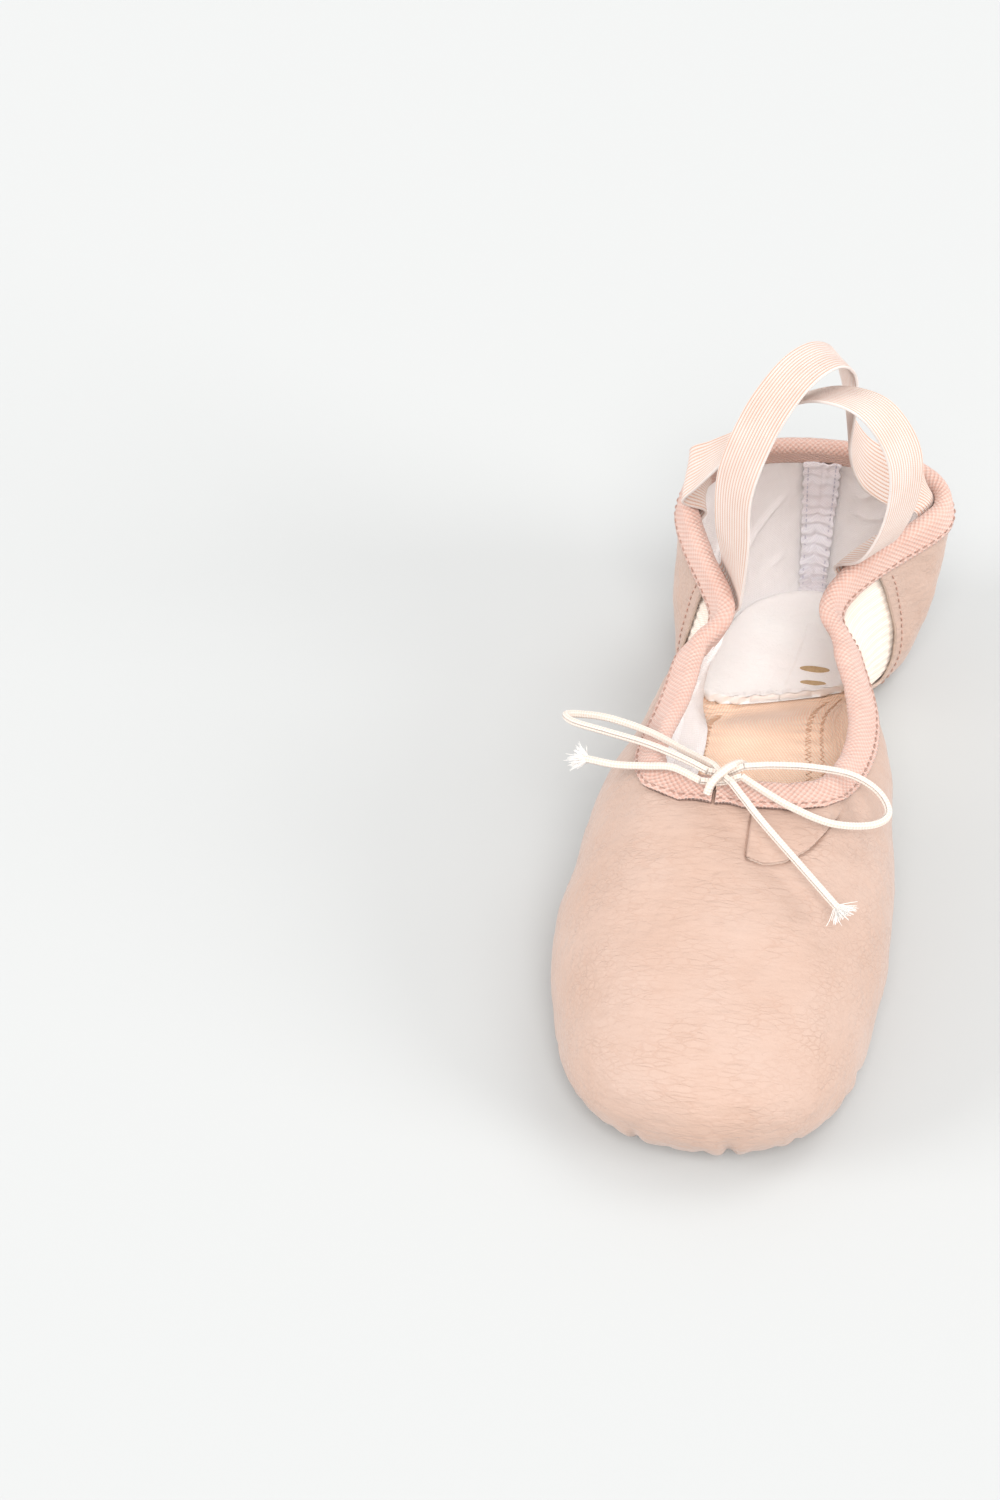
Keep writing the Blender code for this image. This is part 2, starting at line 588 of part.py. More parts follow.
def strap(name, front, rear, path, across_free):
    """An elastic sewn inside the topline at both ends and standing over the ankle opening."""
    tab = (-TAB_LENGTH, -9.0, -5.0, 0.0, 4.0)
    keys, spots = np.array(across_free, float), np.linspace(0, len(across_free) - 1, len(path))
    across = np.stack([np.interp(spots, range(len(keys)), keys[:, k]) for k in range(3)], axis=1)
    across /= np.linalg.norm(across, axis=1, keepdims=True)
    lines = []
    for offset in (-ELASTIC_WIDTH / 2, 0.0, ELASTIC_WIDTH / 2):
        ends = []
        for a, heights in ((front, tab), (rear, tab[::-1])):
            around = (surface(a + 1e-3, 1.0) - surface(a - 1e-3, 1.0)) / 2e-3
            way = np.sign(np.dot(around, keys[0])) / np.linalg.norm(around)
            ends.append([by_topline(a + offset * way, height, TAB_DEPTH) for height in heights])
        free = np.array(path) + ORIGIN + across * offset
        lines.append(along(np.concatenate([ends[0], free, ends[1]]), 46))
    ribbon(name, *lines, STRAP_AXIS, pale_elastic())


def strap_stitch(name, a):
    """A row of stitches across the sewn end of an elastic."""
    spread = np.linspace(-6.0, 6.0, 4)
    around = np.linalg.norm(surface(a + 1e-3, 1.0) - surface(a - 1e-3, 1.0)) / 2e-3
    depth = TAB_DEPTH + ELASTIC / 2 + 3 * GAP
    cord(name, by_topline(a + spread / around, -7.0, depth), THREAD_RADIUS, STRAP_AXIS,
         pink_thread(), sides=1)


def straps():
    strap("ankle_elastic_a", STRAP_A_FRONT, STRAP_A_REAR, STRAP_A_PATH, STRAP_A_ACROSS)
    strap("ankle_elastic_b", STRAP_B_FRONT, STRAP_B_REAR, STRAP_B_PATH, STRAP_B_ACROSS)
    for number, a in enumerate((STRAP_A_FRONT, STRAP_A_REAR, STRAP_B_FRONT, STRAP_B_REAR), 1):
        strap_stitch(f"elastic_stitch_{number}", a)


def main():
    for obj in list(bpy.data.objects):
        bpy.data.objects.remove(obj, do_unlink=True)
    vamp()
    heel()
    soles()
    arch_panel()
    seam_threads()
    binding()
    drawstring()
    bow()
    straps()


main()
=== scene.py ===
import math

import bmesh
import bpy
import numpy as np
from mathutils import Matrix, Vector
from mathutils.bvhtree import BVHTree


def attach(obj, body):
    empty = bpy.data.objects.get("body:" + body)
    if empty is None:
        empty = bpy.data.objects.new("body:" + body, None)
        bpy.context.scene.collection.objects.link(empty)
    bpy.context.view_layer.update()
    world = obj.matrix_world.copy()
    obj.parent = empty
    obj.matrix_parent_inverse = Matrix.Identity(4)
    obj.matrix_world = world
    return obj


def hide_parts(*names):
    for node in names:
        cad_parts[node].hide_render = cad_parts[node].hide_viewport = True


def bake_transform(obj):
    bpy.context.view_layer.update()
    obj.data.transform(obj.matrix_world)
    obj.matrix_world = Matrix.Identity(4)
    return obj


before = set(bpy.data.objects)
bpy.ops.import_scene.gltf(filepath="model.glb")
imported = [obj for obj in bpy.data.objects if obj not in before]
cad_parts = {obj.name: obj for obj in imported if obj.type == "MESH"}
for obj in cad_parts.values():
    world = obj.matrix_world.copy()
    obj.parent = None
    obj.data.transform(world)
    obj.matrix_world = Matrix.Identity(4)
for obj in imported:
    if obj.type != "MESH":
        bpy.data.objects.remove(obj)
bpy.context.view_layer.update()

# Looks of the soft split-sole ballet slipper.  Lengths are in millimetres until a mesh is made.
# A point of the upper is given by (a, b): a runs round the slipper (0 toe centre, +1 heel centre
# by the +X side, -1 heel centre by the -X side) and b from the line under the foot up to the topline.
# Depth is measured inwards from the outer face of the leather.
MM = 0.001

# ---- the form of the upper: half width, y and z at ten stations, toe centre to heel centre ----
FORM_LOOPS = [
    # line under the foot
    [(0, -86, 0), (0, -80, 0), (0, -68, 0), (0, -48, 0), (0, -14, 3), (0, 20, 18),
     (0, 48, 4), (0, 68, 0), (0, 84, 0), (0, 88, 0)],
    # flat of the sole
    [(0, -104, 0), (16, -100, 0), (26, -86, 0), (31, -57, 0), (26, -17, 3), (19, 19, 18),
     (20, 49, 3), (23, 70, 0), (16, 90, 0), (0, 97, 0)],
    # edge of the footprint
    [(0, -119, 2), (23, -113, 2), (37, -94, 1), (42, -60, 1), (36, -19, 5), (25, 19, 20),
     (27, 49, 5), (31, 70, 1), (24, 97, 1), (0, 110, 2)],
    # low on the wall
    [(0, -124, 16), (24, -118, 16), (39, -97, 15), (44.5, -62, 17), (40, -18, 20), (28, 20, 31),
     (28, 49, 20), (35, 73, 19), (26, 102, 20), (0, 116, 20)],
    # half way up
    [(0, -117, 32), (21, -111, 32), (34, -90, 33), (42, -56, 33), (39, -12, 34), (28, 22, 40),
     (23, 48, 35), (38, 78, 35), (27, 105, 36), (0, 115, 36)],
    # below the topline
    [(0, -78, 48), (15, -75, 48), (26, -64, 48), (35, -39, 46), (35, -6, 44), (26, 23, 46),
     (19, 46, 44), (39, 81, 49), (27, 103, 52), (0, 110, 52)],
    # topline
    [(0, -39, 57), (12, -38, 56.5), (23, -33, 55), (27, -18, 52), (25.5, 5, 50), (21.5, 27, 50),
     (16.5, 45, 51), (37, 80, 56), (27, 99, 59), (0, 106, 59)],
]
STATIONS = 9  # stations from toe centre to heel centre
TOE_SIDE = -4.0  # the forefoot lies to the -X side of the arch ...
HEEL_SIDE = 11.0  # ... and the heel to the +X side, as in a left shoe
THROAT_LEAN = 3.0  # sideways lean of the throat at the topline
PINCH_SKEW = 0.3  # the inner side pinches in further back than the outer side
PINCH_Y, PINCH_SPREAD = 47.0, 26.0

# ---- layers, as depth in from the outer face of the leather ----
GAP = 0.3
LEATHER = 1.0
LINING_DEPTH, LINING = 1.5, 0.5
PANEL_DEPTH = 1.8
INSOLE_DEPTH, INSOLE, HEEL_SOCK = 2.9, 1.5, 3.0
PAD = 1.9
OUTSOLE = 1.4
OUTSOLE_EDGE_CURL = 0.3  # the outsole stays flat until the upper has risen this far
TAPE_DEPTH, TAPE, TAPE_WIDTH = 2.7, 0.4, 10.0

# ---- where the pieces of the upper meet, as (a, b) ----
WING_END, REAR_TOP = 17 / 27, 19 / 27  # where the seams meet the topline
MARGIN_B = 0.12  # the upper is turned in under the foot as far as this
FRONT_SEAM = [(0.405, 0.12), (0.430, 0.22), (0.460, 0.33), (0.505, 0.43), (0.560, 0.50),
              (0.605, 0.60), (0.623, 0.76), (WING_END, 1.0)]
REAR_SEAM = [(0.7037, 0.0), (0.712, 0.12), (0.722, 0.25), (0.716, 0.5), (0.709, 0.75),
             (REAR_TOP, 1.0)]
PANEL_TUCK = 0.016  # the arch panel runs on under the leather edges
LINING_SET_BACK = (0.030, 0.030)
BACK_JOIN = 0.00015  # half the gap between the two heel quarters, which are sewn tight

# ---- sole pieces, as the share of b they cover and the a where they end ----
OUTSOLE_B, INSOLE_B, PAD_B = 0.165, 0.165, 0.095
FORE_OUTSOLE_END, FORE_INSOLE_END, FORE_PAD_END = 0.50, 0.42, 0.37
HEEL_OUTSOLE_START, HEEL_SOCK_START, HEEL_PAD_START = 0.720, 0.695, 0.74
FORE_ROUNDING, HEEL_ROUNDING = 0.10, 0.035  # how much of the end of a sole piece is rounded

# ---- binding, drawstring and threads ----
BINDING = 0.8
BINDING_LEG = 5.2  # below the topline
CASING_RISE = 1.5  # centre of the casing above the topline
CASING_OUT, CASING_IN = -0.6, 2.9
CORD_RADIUS = 1.0
BOW_A = -0.055  # the drawstring comes out just beside the toe centre
MOUTH_GAP = 0.004  # the ruched casing nearly closes over the cord

# ---- ankle elastics ----
ELASTIC_WIDTH, ELASTIC = 16.0, 1.0
TAB_DEPTH, TAB_LENGTH = 4.7, 13.0
STRAP_A_FRONT, STRAP_A_REAR = -0.690, 0.795
STRAP_B_FRONT, STRAP_B_REAR = 0.700, -0.790
STRAP_A_PATH = [(-11.5, 46, 72), (-11.5, 47, 90), (-6.5, 50.5, 107), (-0.5, 55, 117.5), (5, 60.5, 121.8),
                (10.8, 67.5, 120.5), (15.2, 75.5, 111.5), (16.9, 80, 97), (18, 83, 83), (22.5, 84.5, 72),
                (29, 85, 66.5), (35, 85.5, 64)]
STRAP_B_PATH = [(29, 53, 66), (34, 52, 82), (33.4, 52, 100), (24.7, 52.5, 114.5), (12.4, 58, 114.5),
                (1, 66, 104), (-8, 70.5, 91), (-15, 72, 82), (-21.5, 73, 75), (-26.5, 75.5, 68)]
# width direction along each elastic, from its front end to its rear end
STRAP_A_ACROSS = [(0.62, -0.78, 0.0), (0.58, -0.76, 0.14), (0.50, -0.80, 0.15), (0.05, -0.92, -0.30),
                  (-0.25, -0.80, -0.50)]
STRAP_B_ACROSS = [(0.53, 0.84, -0.2), (0.53, 0.84, -0.25), (0.50, 0.85, -0.30), (0.30, 0.92, 0.05),
                  (0.05, 0.85, 0.5)]

# ---- the bow, as points of its cords ----
BOW_KNOT = [(-1.6, -30.5, 58.4), (-3.2, -32.6, 61.0), (-6.2, -36.2, 62.0), (-9.4, -40.0, 60.6),
            (-10.6, -41.8, 57.8)]
LOOP_LEFT = [(-9.6, -33.0, 60.0), (-17, -26.2, 57.4), (-27.5, -17.6, 55.2), (-39, -11.2, 53.0),
             (-47.3, -8.0, 50.6), (-50.8, -10.6, 52.4), (-48.0, -15.4, 54.4), (-38.6, -20.2, 56.4),
             (-27.4, -25.8, 58.6), (-17.6, -32.0, 60.4), (-11.0, -36.0, 60.6)]
TAIL_LEFT = [(-12.6, -38.6, 59.4), (-20.1, -33.4, 58.2), (-27.0, -31.4, 56.0), (-35.6, -29.4, 53.6),
             (-44.5, -25.7, 51.4)]
LOOP_RIGHT = [(-1.6, -34.6, 62.0), (6, -33.6, 62.4), (16, -31.0, 60.4), (26.2, -29.0, 57.0),
              (33.6, -30.8, 53.4), (36.6, -36.0, 51.0), (32.4, -41.4, 51.6), (22.2, -45.2, 54.6),
              (11.5, -43.6, 57.6), (3.4, -40.4, 59.8), (-2.0, -37.4, 61.0)]
TAIL_RIGHT = [(-4.4, -40.6, 61.6), (-0.6, -45.6, 60.8), (4.6, -51.0, 58.4), (15.4, -61.4, 54.2),
              (26.1, -71.0, 49.4)]

# ---- placing: the form moved onto the floor and the bow lifted onto the binding ----
ORIGIN = np.array([-1.3, 3.4, OUTSOLE + GAP])  # moves the form so the soles rest on z = 0
BOW_LIFT = (0.4, -3.0, 3.0)  # the bow lies on top of the binding

# ---- details of the looks ----
# gathers round the toe: a, depth and how far up they reach, as b
GATHERS = [(-0.41, 0.5, 0.42), (-0.345, 0.8, 0.46), (-0.29, 0.6, 0.40), (-0.245, 0.9, 0.44),
           (-0.195, 0.7, 0.40), (-0.155, 0.8, 0.43), (-0.115, 0.6, 0.40), (-0.072, 1.6, 0.47),
           (-0.038, 0.6, 0.40), (0.004, 0.8, 0.42), (0.042, 2.3, 0.48), (0.085, 0.8, 0.41),
           (0.128, 1.1, 0.43), (0.165, 0.6, 0.40), (0.21, 1.0, 0.44), (0.252, 1.5, 0.47),
           (0.295, 0.7, 0.42), (0.345, 0.9, 0.45), (0.395, 0.5, 0.40)]
# lower edge of the pleat in the vamp under the bow, as (a, b)
PLEAT = [(0.040, 0.961), (0.075, 0.956), (0.12, 0.955), (0.18, 0.961), (0.235, 0.973)]
PLEAT_LIP = 0.0075  # how far its edge hangs over, as b
# the lining's lower edge on the -X side, where it runs back to the heel lining, as (a, b)
LINING_LOW = [(0.375, 0.12), (0.40, 0.15), (0.43, 0.19), (0.50, 0.21), (0.57, 0.22), (0.64, 0.23),
              (0.73, 0.23)]
SLACK = 15.0  # how far in the loose lining's foot lies on the arch side
SLACK_FROM, SLACK_TO = (46, 14), (16, 36)  # the y where it starts and ends, and over how much
RIBS = 14  # rubber cords across an elastic
BRAID_PITCH = 1.7  # length of one turn of the cord's braid
FOIL_OVALS = [(14.0, 67.6, 4.4, 1.5), (13.9, 60.8, 3.8, 1.2)]  # x, y and half sizes

# ---- camera, light and floor ----
CAMERA_AZIMUTH, CAMERA_ELEVATION, CAMERA_DISTANCE = math.radians(7.36), math.radians(43.54), 0.9709
CAMERA_TARGET = Vector((-0.0716, 0.0056, 0.0267))
LENS, SENSOR = 84.0, 36.0
LAMP_SPREAD = math.radians(30)
# name, how far it stands to the +X side, to the toe and up, and its strength
LAMPS = [("key", 0.39, -0.33, 0.86, 0.54), ("front", 0.09, 0.66, 0.75, 1.98),
         ("left", -0.88, 0.29, 0.38, 1.70), ("right", 0.89, 0.27, 0.37, 1.66)]
WORLD_COLOUR, WORLD_STRENGTH = (0.99, 0.99, 1.0, 1), 0.76
FLOOR_COLOUR = (190, 191, 190)
FLOOR_HALF, FLOOR_DROP = 6.0, 0.0004  # metres


def spline_weights(b, loops):
    """Clamped cubic B-spline weights of each loop at each b."""
    knots = np.concatenate([[0.0] * 3, np.linspace(0, 1, loops - 2), [1.0] * 3])
    b = np.clip(b, 0.0, 1.0 - 1e-9)[:, None]
    weights = ((knots[:-1] <= b) & (b < knots[1:])).astype(float)
    for degree in range(1, 4):
        spans = len(knots) - degree - 1
        left = knots[degree:degree + spans] - knots[:spans]
        right = knots[degree + 1:degree + 1 + spans] - knots[1:1 + spans]
        rise = np.where(left > 0, (b - knots[:spans]) / np.where(left > 0, left, 1), 0)
        fall = np.where(right > 0, (knots[degree + 1:degree + 1 + spans] - b)
                        / np.where(right > 0, right, 1), 0)
        weights = rise * weights[:, :spans] + fall * weights[:, 1:spans + 1]
    return weights


def smooth_step(x):
    x = np.clip(x, 0.0, 1.0)
    return x * x * (3 - 2 * x)


def rising(x, start, width):
    return smooth_step((x - start) / width)


def falling(x, start, width):
    return 1 - rising(x, start, width)


def bell(x, width):
    return np.exp(-(x / width) ** 2)


def line_at(x, line):
    """Height at x of a line given as pairs."""
    return np.interp(x, *np.transpose(line))


def run_along(points):
    """Distance of each point of a line from its start."""
    return np.concatenate([[0], np.cumsum(np.linalg.norm(np.diff(points, axis=0), axis=1))])


def sample(at, run, values):
    """Values of a line, given at distances run, at other distances."""
    return np.stack([np.interp(at, run, values[:, k]) for k in range(values.shape[1])], axis=1)


def catmull_rom(before, start, end, after, t):
    return start + 0.5 * t * (end - before + t * (2 * before - 5 * start + 4 * end - after
                              + t * (3 * (start - end) + after - before)))


def surface(a, b):
    """Points on the outer face of the upper, in millimetres."""
    shape = np.broadcast(a, b).shape
    a = np.broadcast_to(a, shape).ravel()
    b = np.broadcast_to(b, shape).ravel()
    half = np.array(FORM_LOOPS, float)
    loops = np.concatenate([half, half[:, -2:0:-1] * (-1, 1, 1)], axis=1)
    count = loops.shape[1]
    place = np.mod(a * STATIONS, count)
    index = np.floor(place).astype(int) % count
    near = [loops[:, (index + k) % count] for k in (-1, 0, 1, 2)]
    lines = catmull_rom(*near, (place - np.floor(place))[None, :, None])
    out = np.einsum("nl,lnk->nk", spline_weights(b, len(loops)), lines)
    y = out[:, 1].copy()
    out[:, 1] += PINCH_SKEW * out[:, 0] * np.exp(-((y - PINCH_Y) / PINCH_SPREAD) ** 2)
    out[:, 0] += TOE_SIDE * (1 - smooth_step((y + 70) / 70)) + HEEL_SIDE * smooth_step((y - 20) / 75)
    out[:, 0] += THROAT_LEAN * b ** 3 * np.exp(-((y - 5) / 22) ** 2)
    out[:, 2] = np.maximum(out[:, 2], 0.0)
    return (out + ORIGIN).reshape(shape + (3,))


def normals(a, b):
    """Outward normals of the upper."""
    step = 1e-3
    upward = surface(a, np.clip(b + step, 0, 1)) - surface(a, np.clip(b - step, 0, 1))
    normal = np.cross(surface(a + step, b) - surface(a - step, b), upward)
    size = np.linalg.norm(normal, axis=-1, keepdims=True)
    return np.where(size > 1e-9, normal / np.maximum(size, 1e-9), (0.0, 0.0, -1.0))


def inside(a, b, depth):
    """Points at a depth in from the outer face."""
    a, b = np.broadcast_arrays(np.asarray(a, float), np.asarray(b, float))
    return surface(a, b) - normals(a, b) * depth


def by_topline(a, height, depth):
    """Points beside the topline: a height square above it (negative below) and a depth in."""
    a = np.asarray(a, float)
    top = np.ones_like(a)
    per_a = (surface(a + 1e-3, top) - surface(a - 1e-3, top)) / 2e-3
    per_b = (surface(a, top) - surface(a, top - 1e-3)) / 1e-3
    speed = np.linalg.norm(per_a, axis=-1)
    drift = np.sum(per_b * per_a, axis=-1) / speed
    square = per_b - per_a * (drift / speed)[..., None]
    rate = np.linalg.norm(square, axis=-1)
    drop = np.minimum(height, 0.0) / rate
    points = inside(a - drop * drift / speed, top + drop, np.asarray(depth)[..., None])
    return points + square / rate[..., None] * np.maximum(height, 0.0)[..., None]


def along(points, count):
    """A smooth line of evenly spread points through the given ones."""
    points = np.array(points, float)
    ends = np.concatenate([[2 * points[0] - points[1]], points, [2 * points[-1] - points[-2]]])
    fine = []
    for k in range(1, len(ends) - 2):
        for t in np.linspace(0, 1, 24, endpoint=False):
            fine.append(catmull_rom(*ends[k - 1:k + 3], t))
    fine = np.array(fine + [points[-1]])
    run = run_along(fine)
    return sample(np.linspace(0, run[-1], count), run, fine)


def seam_a(seam, b):
    """Where a seam is at each b."""
    return np.interp(b, *np.transpose(seam)[::-1])


def wrapped(a):
    """The same place with a between -1 and 1."""
    return np.where(a > 1, a - 2, a)


def grid(first, second):
    return np.meshgrid(first, second, indexing="ij")


# ---- noise and mesh tools ----
def noise(u, v, seed):
    """Smooth noise between -1 and 1 with a feature about every unit."""
    table = np.random.default_rng(seed).uniform(-1, 1, (128, 128))
    iu, iv = np.floor(u).astype(int), np.floor(v).astype(int)
    fu, fv = smooth_step(u - iu), smooth_step(v - iv)
    low = table[iu % 128, iv % 128] * (1 - fu) + table[(iu + 1) % 128, iv % 128] * fu
    high = table[iu % 128, (iv + 1) % 128] * (1 - fu) + table[(iu + 1) % 128, (iv + 1) % 128] * fu
    return low * (1 - fv) + high * fv


def rumple(u, v, seed, octaves):
    """Noise with finer noise on it."""
    total, size = 0.0, 1.0
    for k in range(octaves):
        total = total + size * noise(u * 2 ** k + 7.3 * k, v * 2 ** k + 3.1 * k, seed + k)
        size *= 0.5
    return total


def creases(u, v, seed, width):
    """Narrow valleys, -1 at the bottom, that come and go."""
    there = smooth_step(noise(u * 0.6 + 11, v * 0.4 + 5, seed + 50) * 1.4 + 0.35)
    return -bell(noise(u, v, seed), width) * there


def add(name, data):
    obj = bpy.data.objects.new(name, data)
    bpy.context.scene.collection.objects.link(obj)
    return obj


def new_piece(name, points, faces, uv, materials, kinds=None):
    """A mesh from points in millimetres; kinds gives each face's material."""
    mesh = bpy.data.meshes.new(name)
    mesh.from_pydata((points * MM).tolist(), [], faces)
    if kinds is not None:
        mesh.polygons.foreach_set("material_index", kinds.astype(np.int32))
    layer = mesh.uv_layers.new(name="UVMap")
    corners = np.empty(len(mesh.loops), dtype=np.int32)
    mesh.loops.foreach_get("vertex_index", corners)
    layer.data.foreach_set("uv", uv[corners].astype(np.float32).ravel())
    for material in materials:
        mesh.materials.append(material)
    mesh.polygons.foreach_set("use_smooth", np.full(len(mesh.polygons), True))
    work = bmesh.new()
    work.from_mesh(mesh)
    bmesh.ops.remove_doubles(work, verts=work.verts, dist=0.004 * MM)
    bmesh.ops.recalc_face_normals(work, faces=work.faces)
    work.to_mesh(mesh)
    work.free()
    mesh.update()
    return add(name, mesh)


def quads_of(index):
    return np.stack([index[:-1, :-1], index[1:, :-1], index[1:, 1:], index[:-1, 1:]], -1).reshape(-1, 4)


def closed_quads(index):
    """Faces of rings of points, each ring joined to itself."""
    return quads_of(np.concatenate([index, index[:, :1]], axis=1)).tolist()


def shell(name, outer, inner, uv, materials):
    """A closed skin between an outer and an inner grid of points."""
    columns, rows = outer.shape[:2]
    count = columns * rows
    index = np.arange(count).reshape(columns, rows)
    front, back = quads_of(index), quads_of(index + count)[:, ::-1]
    rim = np.concatenate([index[:, 0], index[-1, 1:], index[-2::-1, -1], index[0, -2:0:-1]])
    onward = np.roll(rim, -1)
    side = np.stack([rim, rim + count, onward + count, onward], -1)
    kinds = np.concatenate([np.zeros(len(front)), np.ones(len(back)), np.full(len(side), 2)])
    points = np.concatenate([outer.reshape(-1, 3), inner.reshape(-1, 3)])
    return new_piece(name, points, np.concatenate([front, back, side]).tolist(),
                     np.concatenate([uv.reshape(-1, 2)] * 2), materials,
                     np.minimum(kinds, len(materials) - 1))


def flat_coordinates(points):
    """Millimetre texture coordinates of a grid: round the middle row and up the columns."""
    u = run_along(points[:, points.shape[1] * 2 // 3])
    rise = np.linalg.norm(np.diff(points, axis=1), axis=2)
    v = np.concatenate([np.zeros((len(points), 1)), np.cumsum(rise, axis=1)], axis=1)
    v -= v[:, -1:]
    return np.stack([np.repeat(u[:, None], points.shape[1], axis=1), v], axis=2)


def skin(name, a, b, depth, thickness, relief, materials):
    """A sheet of the upper, thickened inwards, its face raised outwards by the relief."""
    points, normal = surface(a, b), normals(a, b)
    outer = points + normal * (relief - depth)[..., None]
    inner = points + normal * (relief - depth - thickness)[..., None]
    return shell(name, outer, inner, flat_coordinates(points), materials)


def tube(points, radius, sides, start, profile):
    """Points, faces and texture coordinates of a round tube with closed ends."""
    count = len(points)
    way = np.gradient(points, axis=0)
    way /= np.maximum(np.linalg.norm(way, axis=1, keepdims=True), 1e-9)
    up = np.cross(way[0], (0.3, 0.2, 0.9))
    up /= np.linalg.norm(up)
    ups = []
    for w in way:
        up = up - w * np.dot(up, w)
        up /= np.linalg.norm(up)
        ups.append(up)
    ups = np.array(ups)
    across = np.cross(way, ups)
    turn = np.linspace(0, 2 * np.pi, sides, endpoint=False)
    run = run_along(points)
    size = np.broadcast_to(radius, (count,))[:, None] * np.ones(sides)
    if profile is not None:
        size = size + profile(turn[None, :], run[:, None])
    rings = points[:, None] + size[..., None] * (ups[:, None] * np.cos(turn)[None, :, None]
                                                 + across[:, None] * np.sin(turn)[None, :, None])
    index = np.arange(count * sides).reshape(count, sides) + start
    faces = closed_quads(index) + [index[0].tolist(), index[-1, ::-1].tolist()]
    run, turn = grid(run, turn / (2 * np.pi))
    return rings.reshape(-1, 3), faces, np.stack([turn, run], -1).reshape(-1, 2)


def bundle(name, lines, sides, material, profile=None):
    """One piece of many tubes: each line is (points, radius)."""
    points, faces, uvs, start = [], [], [], 0
    for line, radius in lines:
        p, f, uv = tube(line, radius, sides, start, profile)
        points.append(p)
        faces += f
        uvs.append(uv)
        start += len(p)
    return new_piece(name, np.concatenate(points), faces, np.concatenate(uvs), [material])


STITCH_DIP = np.array([-2.2, 0.4, 1.0, 1.0, 0.4, -2.2]) * 0.12
STITCH_TAPER = np.array([0.6, 1, 1.05, 1.05, 1, 0.6])


def stitch_lines(line, normal, length, gap, radius):
    """Short stitches along a line that dip in at both ends."""
    run = run_along(line)
    out = []
    for start in np.arange(0.2, run[-1] - length, length + gap):
        at = np.linspace(start, start + length, 6)
        rise = sample(at, run, normal) * STITCH_DIP[:, None]
        out.append((sample(at, run, line) + rise, radius * STITCH_TAPER))
    return out


# ---- materials ----
def srgb(value):
    value /= 255
    return value / 12.92 if value <= 0.04045 else ((value + 0.055) / 1.055) ** 2.4


def rgba(shade):
    return (*[srgb(c) for c in shade], 1)


WHITE = (255, 255, 255)


